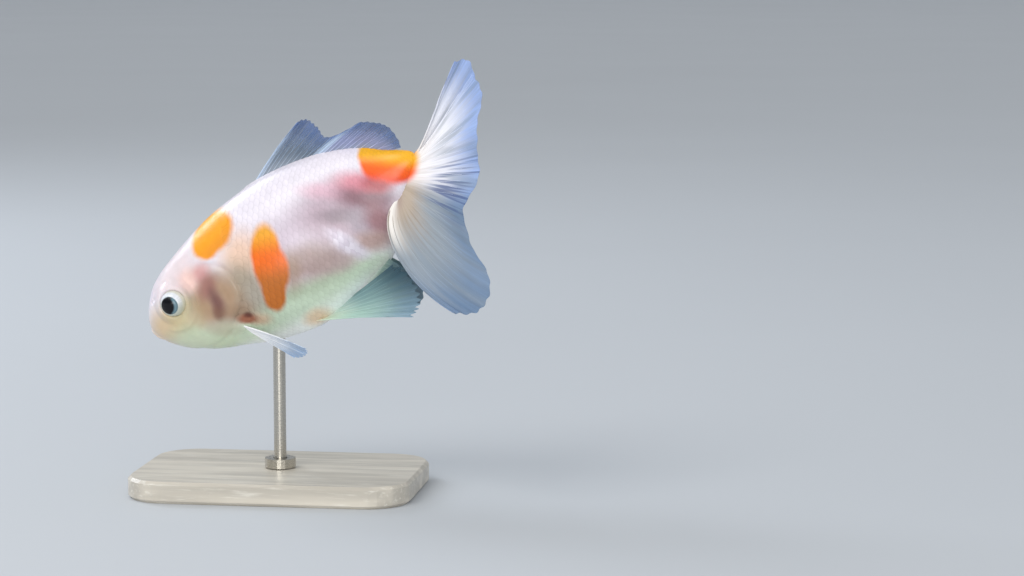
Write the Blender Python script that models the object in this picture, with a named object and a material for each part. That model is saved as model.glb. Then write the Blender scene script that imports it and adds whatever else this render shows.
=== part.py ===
"""A still, life-size model of a fantailed goldfish, swimming nose down on a plain display stand.

The fish is drawn level and then tipped. Level, x runs from the lips (0) to the root of the tail, z is
up and y is to the fish's right, so the fish faces -X and its left flank is on the -Y side. Lengths
below are in millimetres and angles in degrees, and each mesh is scaled to metres as it is made.
"""

import math

import bmesh
import bpy
import numpy as np

MM = 0.001
LEFT, RIGHT = -1, 1
SIDE_NAMES = {LEFT: "left", RIGHT: "right"}
GAP = 0.3  # clear space between one piece and the next

# The body. Each profile is read along the body, as (distance behind the lips, value).
BODY_LENGTH = 104.5
BACK = ((0, 0.3), (2.3, 6.9), (9.5, 14.1), (21, 19.1), (38.7, 24.2), (56, 25.8), (70, 24.4), (83, 21.3),
        (95, 14.7), (104.5, 7.0))
BELLY = ((0, 0.3), (1.8, -3.6), (5.2, -7.5), (10.4, -11.8), (22.6, -17.5), (39.6, -23.2), (52, -24.9),
         (62, -23.4), (74, -19.6), (81.3, -17.0), (86.4, -12.7), (91.7, -6.7), (98, 0.2), (104.5, 7.0))
HALF_BREADTH = ((0, 0), (1.5, 4.4), (5, 7.9), (10, 10.6), (20, 13.8), (32, 16.6), (47, 18.0), (62, 16.2),
                (75, 11.8), (85, 7.8), (93, 5.2), (100, 3.4), (104.5, 0))
FULLNESS = ((0, 2.1), (20, 2.3), (50, 2.15), (80, 2.0), (104.5, 2.0))  # 2 is an ellipse, more is squarer
WIDEST = 0.44  # height of the broadest point, as a share of the way from belly to back
BODY_RINGS, BODY_SEGMENTS = 36, 26

# How the fish hangs in the water, and the stand that holds it there.
PITCH = 30.0
ROD_STATION = 35.0  # where the rod enters the belly
ROD_RADIUS, ROD_SHOWING, ROD_SOCKET = 2.0, 42.0, 9.0
BASE_LENGTH, BASE_BREADTH, BASE_THICKNESS = 92.0, 60.0, 7.0
BASE_CORNER, BASE_EDGE, BASE_SOCKET = 14.0, 1.0, 5.0
COLLAR_RADIUS, COLLAR_HEIGHT = 5.0, 3.0

# Where the body is parted: the gill line as (height, distance behind the lips), and the tail stalk.
GILL_LINE = ((-40, 14), (-18, 21), (-11, 28), (-5, 34.2), (3, 37), (14, 38.5), (40, 42))
STALK_LINE = ((-40, 82), (40, 88))
JAW_OUTLINE = ((-5, -16), (11.5, -16), (6, -2.0), (0, -0.7), (-5, -0.7))

# The gill cover, an oval plate that stands a little proud of the cheek.
GILL_CENTRE = (27.8, 0.2)
GILL_REACH_BACK, GILL_REACH_FRONT, GILL_REACH_HIGH = 8.6, 7.2, 9.8
GILL_PROUD, GILL_DEPTH = 0.5, 1.0
GILL_RINGS, GILL_SEGMENTS = 3, 22

# The eye, a ball set into the side of the head.
EYE_STATION, EYE_HEIGHT, EYE_RADIUS, EYE_PROUD = 13.6, 4.9, 4.9, 2.2
EYE_SEGMENTS, EYE_RINGS = 18, 10

# The fins. Each is a fan of rays, read across the fin from its leading ray (0) to its last (1):
# sweep is the way a ray points at its tip, measured up from straight behind; bend is how much lower it
# points at its root, and curl the same for a turn that is over soon after the root; out is how far it
# leans away from the middle of the fish.
FIN_THICKNESS = 0.6
FIN_ROOT_DEPTH = 2.0  # how far a fin starts under the skin, before it is cut back to it
CURL_POWER = 7
DORSAL = {
    "base": (50.2, 93.0),
    "sweep": ((0, 19.5), (0.12, 21), (0.24, 18.5), (0.42, 12), (0.5, 10), (0.58, 11.5), (0.72, 8.5), (0.88, 3),
              (1, -13)),
    "length": ((0, 28.4), (0.12, 26), (0.24, 21.4), (0.42, 15), (0.48, 16.5), (0.56, 19.5), (0.64, 19.5),
               (0.8, 16.7), (0.94, 11.5), (1, 8.5)),
    "out": ((0, 6), (0.22, 13), (0.42, 2), (0.6, -11), (0.85, -8), (1, -3)),
    "bend": ((0, -12), (0.3, -6), (0.6, 0), (1, 0)),
}
PELVIC = {
    "base": ((47.0, 7.5), (54.5, 4.2)),
    "sweep": ((0, -28.5), (0.5, -15), (1, 10)),
    "length": ((0, 38.5), (0.15, 38.5), (0.5, 36.5), (0.85, 31), (1, 27)),
    "out": ((0, 14), (1, 5)),
    "bend": ((0, -8), (0.5, 0), (1, 6)),
    "reach": {LEFT: 1.0, RIGHT: 0.86},
}
ANAL = {
    "base": ((69.5, 2.8), (79.5, 2.0)),
    "sweep": ((0, -62), (0.5, -54), (0.8, -55), (1, -63)),
    "length": ((0, 19.5), (0.2, 18.8), (0.6, 13), (0.8, 10.4), (1, 7)),
    "out": ((0, 14), (1, 8)),
    "bend": ((0, -8), (1, -4)),
    "reach": {LEFT: 1.0, RIGHT: 1.0},
}
PECTORAL_BASE = ((28.8, -10.9), (30.2, -13.4))
PECTORAL_LENGTH = ((0, 32), (0.3, 29.4), (0.6, 25.7), (1, 19.8))
PECTORAL = {
    LEFT: {"sweep": ((0, -44), (0.3, -46.5), (1, -56)), "out": ((0, 34), (1, 14)), "bend": ((0, -8), (1, 0))},
    RIGHT: {"sweep": ((0, -22), (1, -38)), "out": ((0, 34), (1, 14)), "bend": ((0, -8), (1, 0))},
}
TAIL_ROOT = ((102.5, 7.2), (93.0, -2.0))
TAIL_ROOT_OUT = (0.55, 2.0)
TAIL_FORK, TAIL_FORK_GAP = 0.5, 0.012
TAIL = {
    "root": ((0, 0), (0.2, 0.155), (0.5, 0.64), (0.7, 0.86), (1, 1)),
    "out_root": ((0, 8), (0.5, 26), (0.8, 44), (1, 50)),
    "out_tip": ((0, 14), (0.5, 30), (0.8, 22), (1, 14)),
    "bend": ((0, -6), (0.3, 0), (0.5, 0), (0.7, 18), (0.85, 34), (1, 50)),
    "curl": ((0, 26), (0.15, 12), (0.3, 0), (0.6, 0), (0.75, 16), (0.9, 52), (1, 84)),
}
TAIL_SWEEP = {
    LEFT: ((0, 23), (0.1, 13), (0.2, 3), (0.3, -12.5), (0.4, -29), (0.5, -48), (0.6, -57), (0.7, -55), (1, -55.5)),
    RIGHT: ((0, 38), (0.1, 31.5), (0.2, 20), (0.3, 3), (0.4, -20), (0.5, -54), (0.6, -70), (0.7, -71.5), (1, -75)),
}
TAIL_LENGTH = {
    LEFT: ((0, 35.4), (0.1, 34.3), (0.2, 29.3), (0.3, 27.1), (0.4, 27.9), (0.5, 24.9), (0.6, 32.8), (0.7, 45.1),
           (0.8, 53.3), (0.9, 56), (1, 54)),
    RIGHT: ((0, 33.8), (0.1, 37.2), (0.2, 32.5), (0.3, 24.8), (0.4, 21), (0.5, 19), (0.6, 27), (0.7, 37),
            (0.8, 45.4), (0.9, 50), (1, 49)),
}
RIPPLE_HEIGHT, RIPPLES = 0.7, 5  # the soft folds of the tail's free edge


def smooth(knots, at):
    """A smooth curve through the knots, which are (place, value), read at each place in at."""
    place, value = np.array(knots, float).T
    slope = np.gradient(value, place)
    at = np.clip(at, place[0], place[-1])
    i = np.clip(np.searchsorted(place, at, side="right") - 1, 0, len(place) - 2)
    step = place[i + 1] - place[i]
    s = (at - place[i]) / step
    rest = 1 - s
    start = rest * rest * ((1 + 2 * s) * value[i] + s * step * slope[i])
    end = s * s * ((3 - 2 * s) * value[i + 1] - rest * step * slope[i + 1])
    return start + end


def station(x):
    """Distance behind the lips as a share of the body, crowded at both ends so that they close round."""
    return np.arccos(1 - 2 * np.clip(np.asarray(x, float) / BODY_LENGTH, 0, 1)) / math.pi


def profile(knots, x):
    return smooth([(station(place), value) for place, value in knots], station(x))


def flank(x, z):
    """Half the body's breadth at that distance behind the lips and that height."""
    back, belly = profile(BACK, x), profile(BELLY, x)
    middle = belly + WIDEST * (back - belly)
    reach = np.where(z > middle, back - middle, middle - belly)
    power = profile(FULLNESS, x)
    share = np.clip(np.abs(z - middle) / np.maximum(reach, 1e-6), 0, 1)
    return profile(HALF_BREADTH, x) * (1 - share**power) ** (1 / power)


def underside(x, y):
    """The height of the body's lower surface at that distance behind the lips and that far out."""
    back, belly = profile(BACK, x), profile(BELLY, x)
    middle = belly + WIDEST * (back - belly)
    power = profile(FULLNESS, x)
    share = np.clip(np.abs(y) / profile(HALF_BREADTH, x), 0, 1)
    return middle - (middle - belly) * (1 - share**power) ** (1 / power)


def new_object(name, points, faces, finish=None, parent=None):
    """A mesh object from points in millimetres, with its faces turned outwards."""
    mesh = bpy.data.meshes.new(name)
    mesh.from_pydata([[float(c) * MM for c in point] for point in points], [], faces)
    work = bmesh.new()
    work.from_mesh(mesh)
    bmesh.ops.recalc_face_normals(work, faces=work.faces)
    work.to_mesh(mesh)
    work.free()
    mesh.shade_smooth()
    mesh.set_sharp_from_angle(angle=math.radians(40))
    obj = bpy.data.objects.new(name, mesh)
    bpy.context.scene.collection.objects.link(obj)
    obj.parent = parent
    if finish:
        mesh.materials.append(finish)
    return obj


def as_cutter(obj):
    obj.hide_render = True
    obj.display_type = "WIRE"
    return obj


def boolean(obj, cutter, operation="DIFFERENCE"):
    modifier = obj.modifiers.new(operation.title(), "BOOLEAN")
    modifier.operation = operation
    modifier.object = cutter
    modifier.solver = "EXACT"
    return obj


def finish_of(name, colour, roughness, metallic=0.0):
    material = bpy.data.materials.new(name)
    material.use_nodes = True
    shader = material.node_tree.nodes["Principled BSDF"]
    shader.inputs["Base Color"].default_value = (*colour, 1)
    shader.inputs["Roughness"].default_value = roughness
    shader.inputs["Metallic"].default_value = metallic
    return material


def body_points():
    """The lips, the rings of the body from front to back, and the last point of the tail stalk."""
    share = np.arange(1, BODY_RINGS) / BODY_RINGS
    turn = 2 * math.pi * np.arange(BODY_SEGMENTS) / BODY_SEGMENTS
    x = np.repeat(BODY_LENGTH * (1 - np.cos(math.pi * share)) / 2, BODY_SEGMENTS)
    turn = np.tile(turn, BODY_RINGS - 1)
    back, belly = profile(BACK, x), profile(BELLY, x)
    middle = belly + WIDEST * (back - belly)
    power = 2 / profile(FULLNESS, x)
    sine, cosine = np.sin(turn), np.cos(turn)
    y = profile(HALF_BREADTH, x) * np.sign(sine) * np.abs(sine) ** power
    reach = np.where(cosine > 0, back - middle, middle - belly)
    z = middle + reach * np.sign(cosine) * np.abs(cosine) ** power
    return [(0, 0, BACK[0][1]), *np.stack([x, y, z], 1), (BODY_LENGTH, 0, BACK[-1][1])]


def body_faces():
    last = (BODY_RINGS - 1) * BODY_SEGMENTS + 1
    faces = []
    for k in range(BODY_SEGMENTS):
        after = (k + 1) % BODY_SEGMENTS
        faces.append((0, 1 + k, 1 + after))
        faces.append((last, last - BODY_SEGMENTS + after, last - BODY_SEGMENTS + k))
        for ring in range(BODY_RINGS - 2):
            a, b = 1 + ring * BODY_SEGMENTS, 1 + (ring + 1) * BODY_SEGMENTS
            faces.append((a + k, b + k, b + after, a + after))
    return faces


def body_solid(name, parent, finish=None, grow=0.0):
    obj = new_object(name, body_points(), body_faces(), finish, parent)
    if grow:
        for vertex in obj.data.vertices:
            vertex.co += vertex.normal * grow * MM
    return obj


def grown(outline, by):
    """A closed outline, drawn anticlockwise, with each side moved out by this much."""
    points = np.array(outline, float)
    edge = np.roll(points, -1, 0) - points
    normal = np.stack([edge[:, 1], -edge[:, 0]], 1) / np.linalg.norm(edge, axis=1)[:, None]
    before = np.roll(normal, 1, 0)
    return points + by * (normal + before) / (1 + (normal * before).sum(1))[:, None]


def side_prism(name, outline, parent, reach=40.0):
    """A block right through the fish from side to side, with this outline in x and z."""
    count = len(outline)
    points = [(x, y, z) for y in (-reach, reach) for x, z in outline]
    faces = [tuple(range(count)), tuple(range(2 * count - 1, count - 1, -1))]
    faces += [(k, (k + 1) % count, count + (k + 1) % count, count + k) for k in range(count)]
    return as_cutter(new_object(name, points, faces, parent=parent))


def front_of(line, steps):
    """The outline of all that lies in front of a line, which is given as (height, x)."""
    heights = np.linspace(line[0][0], line[-1][0], steps)
    return [(-20, heights[0]), *zip(smooth(line, heights), heights), (-20, heights[-1])]


def behind(line):
    (low, x_low), (high, x_high) = line
    return [(x_low, low), (BODY_LENGTH + 20, low), (BODY_LENGTH + 20, high), (x_high, high)]


def gill_plate(name, side, parent, finish=None, margin=0.0, outer=GILL_PROUD):
    """The oval gill cover, which follows the side of the head, or its socket where there is a margin."""
    rows = []
    for depth in (outer, -GILL_DEPTH - margin):
        for ring in range(1, GILL_RINGS + 1):
            for k in range(GILL_SEGMENTS):
                turn = 2 * math.pi * k / GILL_SEGMENTS
                reach = GILL_REACH_BACK if math.cos(turn) > 0 else GILL_REACH_FRONT
                share = ring / GILL_RINGS
                x = GILL_CENTRE[0] + share * (reach + margin) * math.cos(turn)
                z = GILL_CENTRE[1] + share * (GILL_REACH_HIGH + margin) * math.sin(turn)
                rows.append((x, z, depth))
        rows.append((*GILL_CENTRE, depth))
    points = [on_flank(x, z, depth, side) for x, z, depth in rows]
    per_face = GILL_RINGS * GILL_SEGMENTS + 1
    faces = []
    for k in range(GILL_SEGMENTS):
        after = (k + 1) % GILL_SEGMENTS
        rim = per_face - 1 - GILL_SEGMENTS
        for start in (0, per_face):
            faces.append((start + per_face - 1, start + k, start + after))
            for ring in range(GILL_RINGS - 1):
                a, b = start + ring * GILL_SEGMENTS, start + (ring + 1) * GILL_SEGMENTS
                faces.append((a + k, b + k, b + after, a + after))
        faces.append((rim + k, rim + after, per_face + rim + after, per_face + rim + k))
    return new_object(name, points, faces, finish, parent)


def on_flank(x, z, depth, side, step=0.2):
    """A point that far outside the body's side surface, straight out from it."""
    y = flank(x, z)
    along = (flank(x + step, z) - flank(x - step, z)) / (2 * step)
    upward = (flank(x, z + step) - flank(x, z - step)) / (2 * step)
    normal = np.array([-along, 1, -upward]) / math.sqrt(along**2 + upward**2 + 1)
    return (x + depth * normal[0], side * (y + depth * normal[1]), z + depth * normal[2])


def sheet(name, grid, finish, parent, body):
    """A thin fin over a grid of points, rays by steps, cut back to just clear of the body."""
    rays, steps = grid.shape[:2]
    faces = [
        (r * steps + s, (r + 1) * steps + s, (r + 1) * steps + s + 1, r * steps + s + 1)
        for r in range(rays - 1)
        for s in range(steps - 1)
    ]
    obj = new_object(name, grid.reshape(-1, 3), faces, finish, parent)
    solid = obj.modifiers.new("Thickness", "SOLIDIFY")
    solid.thickness = FIN_THICKNESS * MM
    solid.offset = 0
    solid.use_even_offset = True
    return boolean(obj, body)


def fan(root, length, sweep, bend, curl, out_root, out_tip, side, steps):
    """The points of the rays of a fin. Each argument before side has one value or row for a ray."""
    u = (np.arange(steps) + 0.5) / steps
    heading = sweep[:, None] - bend[:, None] * (1 - u) - curl[:, None] * (1 - u) ** CURL_POWER
    heading = np.radians(heading)
    lean = np.radians(out_root[:, None] + (out_tip - out_root)[:, None] * u)
    ways = np.stack(
        [np.cos(lean) * np.cos(heading), side * np.sin(lean), np.cos(lean) * np.sin(heading)], 2
    )
    travelled = np.cumsum(ways, 1) * (length / steps)[:, None, None]
    return np.concatenate([root[:, None], root[:, None] + travelled], 1)


def plain_fan(fin, root, side, share, steps, reach=1.0):
    out = smooth(fin["out"], share)
    return fan(
        root, reach * smooth(fin["length"], share), smooth(fin["sweep"], share),
        smooth(fin["bend"], share), 0 * share, out, out, side, steps,
    )


def make_dorsal(parent, finish, body, rays=19, steps=6):
    share = np.linspace(0, 1, rays)
    x = DORSAL["base"][0] + (DORSAL["base"][1] - DORSAL["base"][0]) * share
    root = np.stack([x, 0 * x, profile(BACK, x) - FIN_ROOT_DEPTH], 1)
    sheet("dorsal_fin", plain_fan(DORSAL, root, RIGHT, share, steps), finish, parent, body)


def make_belly_pair(name, fin, parent, finish, body, rays=9, steps=7):
    """A pair of fins that hang from the belly. Their base is given as (x, distance from the middle)."""
    share = np.linspace(0, 1, rays)
    (x0, y0), (x1, y1) = fin["base"]
    x, y = x0 + (x1 - x0) * share, y0 + (y1 - y0) * share
    for side, side_name in SIDE_NAMES.items():
        root = np.stack([x, side * y, underside(x, y) + FIN_ROOT_DEPTH], 1)
        grid = plain_fan(fin, root, side, share, steps, fin["reach"][side])
        sheet(f"{name}_{side_name}", grid, finish, parent, body)


def make_pectorals(parent, finish, body, rays=8, steps=7):
    share = np.linspace(0, 1, rays)
    (x0, z0), (x1, z1) = PECTORAL_BASE
    x, z = x0 + (x1 - x0) * share, z0 + (z1 - z0) * share
    for side, side_name in SIDE_NAMES.items():
        root = np.stack([x, side * (flank(x, z) - FIN_ROOT_DEPTH), z], 1)
        fin = {**PECTORAL[side], "length": PECTORAL_LENGTH}
        sheet(f"pectoral_fin_{side_name}", plain_fan(fin, root, side, share, steps), finish, parent, body)


def tail_lobe(share, side, steps):
    """The rays of one half of the tail, rippled towards its free edge."""
    place = smooth(TAIL["root"], share)
    (x0, z0), (x1, z1) = TAIL_ROOT
    out = TAIL_ROOT_OUT[0] + (TAIL_ROOT_OUT[1] - TAIL_ROOT_OUT[0]) * place
    root = np.stack([x0 + (x1 - x0) * place, side * out, z0 + (z1 - z0) * place], 1)
    points = fan(
        root, smooth(TAIL_LENGTH[side], share), smooth(TAIL_SWEEP[side], share),
        *(smooth(TAIL[name], share) for name in ("bend", "curl", "out_root", "out_tip")), side, steps,
    )
    free = (np.arange(steps + 1) / steps) ** 2
    points[:, :, 1] += side * RIPPLE_HEIGHT * np.outer(np.sin(2 * math.pi * RIPPLES * share), free)
    return points


def make_tail(parent, finish, body, rays=12, steps=9):
    """Two halves side by side, each parted at its fork into an upper and a lower lobe."""
    for side, side_name in SIDE_NAMES.items():
        for part, start, end in (("upper", 0, TAIL_FORK - TAIL_FORK_GAP), ("lower", TAIL_FORK + TAIL_FORK_GAP, 1)):
            grid = tail_lobe(np.linspace(start, end, rays), side, steps)
            sheet(f"tail_{part}_{side_name}", grid, finish, parent, body)


def ball(name, place, radius, parent, finish=None):
    mesh = bpy.data.meshes.new(name)
    work = bmesh.new()
    bmesh.ops.create_uvsphere(work, u_segments=EYE_SEGMENTS, v_segments=EYE_RINGS, radius=radius * MM)
    work.to_mesh(mesh)
    work.free()
    mesh.shade_smooth()
    obj = bpy.data.objects.new(name, mesh)
    bpy.context.scene.collection.objects.link(obj)
    obj.parent = parent
    obj.location = [c * MM for c in place]
    obj.rotation_euler = (math.pi / 2, 0, 0)
    if finish:
        mesh.materials.append(finish)
    return obj


def cylinder(name, radius, low, high, segments, finish=None, inner=0.0):
    """An upright round bar round the Z axis, or a ring where it has an inner radius."""
    turn = [2 * math.pi * k / segments for k in range(segments)]
    loops = [(radius, low), (radius, high)] + ([(inner, high), (inner, low)] if inner else [])
    points = [(r * math.cos(t), r * math.sin(t), z) for r, z in loops for t in turn]
    faces = []
    for loop in range(len(loops) if inner else 1):
        a, b = loop * segments, ((loop + 1) % len(loops)) * segments
        faces += [(a + k, a + (k + 1) % segments, b + (k + 1) % segments, b + k) for k in range(segments)]
    if not inner:
        faces += [tuple(range(segments)), tuple(range(2 * segments - 1, segments - 1, -1))]
    return new_object(name, points, faces, finish)


def make_stand(wood, brass, belly_height):
    """A flat base with rounded corners, a rod that enters it and the belly, and a collar at its foot."""
    points, faces, per_corner = [], [], 8
    rims = ((0, BASE_EDGE), (BASE_EDGE, 0), (BASE_THICKNESS - BASE_EDGE, 0), (BASE_THICKNESS, BASE_EDGE))
    for z, inset in rims:
        for k in range(4 * (per_corner + 1)):
            quarter, step = divmod(k, per_corner + 1)
            turn = math.pi / 2 * (quarter + step / per_corner)
            middle_x = (BASE_LENGTH / 2 - BASE_CORNER) * (1 if quarter in (0, 3) else -1)
            middle_y = (BASE_BREADTH / 2 - BASE_CORNER) * (1 if quarter in (0, 1) else -1)
            reach = BASE_CORNER - inset
            points.append((middle_x + reach * math.cos(turn), middle_y + reach * math.sin(turn), z))
    count = 4 * (per_corner + 1)
    for rim in range(len(rims) - 1):
        a, b = rim * count, (rim + 1) * count
        faces += [(a + k, a + (k + 1) % count, b + (k + 1) % count, b + k) for k in range(count)]
    faces += [tuple(range(count)), tuple(range(len(points) - 1, len(points) - 1 - count, -1))]
    base = new_object("stand_base", points, faces, wood)
    floor_of_socket = BASE_THICKNESS - BASE_SOCKET
    hole = cylinder("base_socket", ROD_RADIUS + GAP, floor_of_socket, BASE_THICKNESS + 5, 20)
    boolean(base, as_cutter(hole))
    rod_top = belly_height + ROD_SOCKET
    cylinder("stand_rod", ROD_RADIUS, floor_of_socket + GAP, rod_top, 20, brass)
    collar_foot = BASE_THICKNESS + GAP
    cylinder(
        "stand_collar", COLLAR_RADIUS, collar_foot, collar_foot + COLLAR_HEIGHT, 24, brass,
        inner=ROD_RADIUS + GAP,
    )
    return as_cutter(cylinder("belly_socket", ROD_RADIUS + GAP, belly_height - 20, rod_top + GAP, 20))


def place_fish(belly_height):
    """An empty at the lips, tipped so that the nose is down and the rod's station is over the middle."""
    x, z = ROD_STATION, float(profile(BELLY, ROD_STATION))
    turn = math.radians(PITCH)
    frame = bpy.data.objects.new("fish", None)
    bpy.context.scene.collection.objects.link(frame)
    frame.rotation_euler = (0, -turn, 0)
    frame.location = (
        (z * math.sin(turn) - x * math.cos(turn)) * MM,
        0,
        (belly_height - x * math.sin(turn) - z * math.cos(turn)) * MM,
    )
    return frame


def make_body(fish, flesh, pale, belly_socket):
    """The head, jaw, gill covers, trunk and tail stalk, parted by thin cuts."""
    head_region = front_of(GILL_LINE, 17)
    head = body_solid("head", fish, flesh)
    boolean(head, side_prism("head_region", head_region, fish), "INTERSECT")
    boolean(head, side_prism("jaw_clearance", grown(JAW_OUTLINE, GAP), fish))
    jaw = body_solid("lower_jaw", fish, flesh)
    boolean(jaw, side_prism("jaw_region", JAW_OUTLINE, fish), "INTERSECT")
    trunk = body_solid("trunk", fish, flesh)
    boolean(trunk, side_prism("head_clearance", grown(head_region, GAP), fish))
    boolean(trunk, side_prism("stalk_clearance", grown(behind(STALK_LINE), GAP), fish))
    boolean(trunk, belly_socket)
    stalk = body_solid("tail_stalk", fish, flesh)
    boolean(stalk, side_prism("stalk_region", behind(STALK_LINE), fish), "INTERSECT")
    for side, side_name in SIDE_NAMES.items():
        gill_plate(f"gill_cover_{side_name}", side, fish, flesh)
        socket = as_cutter(gill_plate(f"gill_socket_{side_name}", side, fish, margin=GAP, outer=4.0))
        boolean(head, socket)
        boolean(trunk, socket)
        out = float(flank(EYE_STATION, EYE_HEIGHT)) + EYE_PROUD - EYE_RADIUS
        place = (EYE_STATION, side * out, EYE_HEIGHT)
        ball(f"eye_{side_name}", place, EYE_RADIUS, fish, pale)
        boolean(head, as_cutter(ball(f"eye_socket_{side_name}", place, EYE_RADIUS + GAP, fish)))


def main():
    for obj in list(bpy.data.objects):
        bpy.data.objects.remove(obj, do_unlink=True)
    flesh = finish_of("pearly_skin", (0.88, 0.82, 0.80), 0.35)
    web = finish_of("fin_web", (0.80, 0.83, 0.90), 0.4)
    glossy = finish_of("eye", (0.05, 0.05, 0.06), 0.08)
    wood = finish_of("base", (0.05, 0.045, 0.04), 0.45)
    brass = finish_of("rod", (0.62, 0.58, 0.5), 0.25, 1.0)
    belly_height = BASE_THICKNESS + ROD_SHOWING
    fish = place_fish(belly_height)
    belly_socket = make_stand(wood, brass, belly_height)
    make_body(fish, flesh, glossy, belly_socket)
    clear_of_body = as_cutter(body_solid("clear_of_body", fish, grow=GAP))
    make_dorsal(fish, web, clear_of_body)
    make_belly_pair("pelvic_fin", PELVIC, fish, web, clear_of_body)
    make_belly_pair("anal_fin", ANAL, fish, web, clear_of_body)
    make_pectorals(fish, web, clear_of_body)
    make_tail(fish, web, clear_of_body)


main()
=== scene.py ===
"""Skin, scales, fins, eyes and stand finishes of a still, life-size fantailed goldfish.

The fish is worked out level and then tipped nose down onto its rod. Level, x runs from the lips (0) to
the root of the tail, z is up and y is to the fish's right, so its left flank is on the -Y side. Level
lengths are in millimetres and angles in degrees; finished meshes are in metres, in the frame's place.
"""

import math
from functools import partial

import bmesh
import bpy
import numpy as np
from bpy.props import FloatProperty, FloatVectorProperty, IntProperty, PointerProperty
from mathutils import Matrix, Vector


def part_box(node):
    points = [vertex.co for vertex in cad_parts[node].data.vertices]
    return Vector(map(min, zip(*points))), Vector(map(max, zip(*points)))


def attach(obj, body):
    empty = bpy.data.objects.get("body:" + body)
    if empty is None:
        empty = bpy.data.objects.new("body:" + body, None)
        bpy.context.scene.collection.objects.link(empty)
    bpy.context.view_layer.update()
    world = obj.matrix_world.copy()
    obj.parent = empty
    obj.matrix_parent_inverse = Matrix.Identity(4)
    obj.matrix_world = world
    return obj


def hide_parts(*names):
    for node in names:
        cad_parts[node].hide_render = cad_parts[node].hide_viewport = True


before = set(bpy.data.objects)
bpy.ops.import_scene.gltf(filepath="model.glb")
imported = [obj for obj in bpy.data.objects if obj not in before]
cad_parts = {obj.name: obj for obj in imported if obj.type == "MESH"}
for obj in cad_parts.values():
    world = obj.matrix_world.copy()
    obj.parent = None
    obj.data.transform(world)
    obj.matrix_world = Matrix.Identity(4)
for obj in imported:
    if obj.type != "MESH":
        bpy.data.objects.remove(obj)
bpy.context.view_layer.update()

bl_info = {
    "name": "Fantailed Goldfish",
    "version": (1, 0, 0),
    "blender": (4, 5, 0),
    "location": "3D View > Sidebar > Goldfish",
    "description": "Dresses the solids of a goldfish on a display stand",
    "category": "Object",
}

MM = 0.001
LEFT, RIGHT = -1, 1
SIDES = {"left": LEFT, "right": RIGHT}

# The body, read along it as (distance behind the lips, value).
BODY_LENGTH = 104.5
BACK = ((0, 0.3), (2.3, 6.9), (9.5, 14.1), (21, 19.1), (38.7, 24.2), (56, 25.8), (70, 24.4), (83, 21.3),
        (95, 14.7), (104.5, 7.0))
BELLY = ((0, 0.3), (1.8, -3.6), (5.2, -7.5), (10.4, -11.8), (22.6, -17.5), (39.6, -23.2), (52, -24.9),
         (62, -23.4), (74, -19.6), (81.3, -17.0), (86.4, -12.7), (91.7, -6.7), (98, 0.2), (104.5, 7.0))
HALF_BREADTH = ((0, 0), (1.5, 4.4), (5, 7.9), (10, 10.6), (20, 13.8), (32, 16.6), (47, 18.0), (62, 16.2),
                (75, 11.8), (85, 7.8), (93, 5.2), (100, 3.4), (104.5, 0))
FULLNESS = ((0, 2.1), (20, 2.3), (50, 2.15), (80, 2.0), (104.5, 2.0))
WIDEST = 0.44
PITCH = math.radians(30)
ROD_STATION, ROD_SOCKET = 35.0, 9.0

# The head's landmarks.
GILL_LINE = ((-40, 14), (-18, 21), (-11, 28), (-5, 34.2), (3, 37), (14, 38.5), (40, 42))
GILL_CENTRE = (27.8, 0.2)
GILL_REACH_BACK, GILL_REACH_FRONT, GILL_REACH_HIGH = 8.6, 7.2, 9.8
EYE_STATION, EYE_HEIGHT, EYE_RADIUS, EYE_PROUD = 13.6, 4.9, 4.9, 2.2
EYE_OPENING = 4.2
LID_HEIGHT, LID_RIM, SOCKET_REACH, SOCKET_DEPTH = 0.25, 0.28, 3.2, 3.2
BESIDE_HEAD = 4  # skin further out than this can belong to an eye
PECTORAL_ROOT = (29.5, -12.0)

# The fins, with the same fans of rays as the solids.
FIN_ROOT_DEPTH = 2.0
CURL_POWER = 7
DORSAL = {
    "base": (50.2, 93.0),
    "sweep": ((0, 19.5), (0.12, 21), (0.24, 18.5), (0.42, 12), (0.5, 10), (0.58, 11.5), (0.72, 8.5),
              (0.88, 3), (1, -13)),
    "length": ((0, 28.4), (0.12, 26), (0.24, 21.4), (0.42, 15), (0.48, 16.5), (0.56, 19.5), (0.64, 19.5),
               (0.8, 16.7), (0.94, 11.5), (1, 8.5)),
    "out": ((0, 6), (0.22, 13), (0.42, 2), (0.6, -11), (0.85, -8), (1, -3)),
    "bend": ((0, -12), (0.3, -6), (0.6, 0), (1, 0)),
}
PELVIC = {
    "base": ((47.0, 7.5), (54.5, 4.2)),
    "sweep": ((0, -28.5), (0.5, -15), (1, 10)),
    "length": ((0, 38.5), (0.15, 38.5), (0.5, 36.5), (0.85, 31), (1, 27)),
    "out": ((0, 14), (1, 5)),
    "bend": ((0, -8), (0.5, 0), (1, 6)),
    "reach": {LEFT: 1.0, RIGHT: 0.86},
}
ANAL = {
    "base": ((69.5, 2.8), (79.5, 2.0)),
    "sweep": ((0, -62), (0.5, -54), (0.8, -55), (1, -63)),
    "length": ((0, 19.5), (0.2, 18.8), (0.6, 13), (0.8, 10.4), (1, 7)),
    "out": ((0, 14), (1, 8)),
    "bend": ((0, -8), (1, -4)),
    "reach": {LEFT: 1.0, RIGHT: 1.0},
}
PECTORAL_BASE = ((28.8, -10.9), (30.2, -13.4))
PECTORAL_LENGTH = ((0, 32), (0.3, 29.4), (0.6, 25.7), (1, 19.8))
PECTORAL = {
    LEFT: {"sweep": ((0, -44), (0.3, -46.5), (1, -56)), "out": ((0, 34), (1, 14)), "bend": ((0, -8), (1, 0))},
    RIGHT: {"sweep": ((0, -22), (1, -38)), "out": ((0, 34), (1, 14)), "bend": ((0, -8), (1, 0))},
}
TAIL_ROOT = ((102.5, 7.2), (93.0, -2.0))
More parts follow.
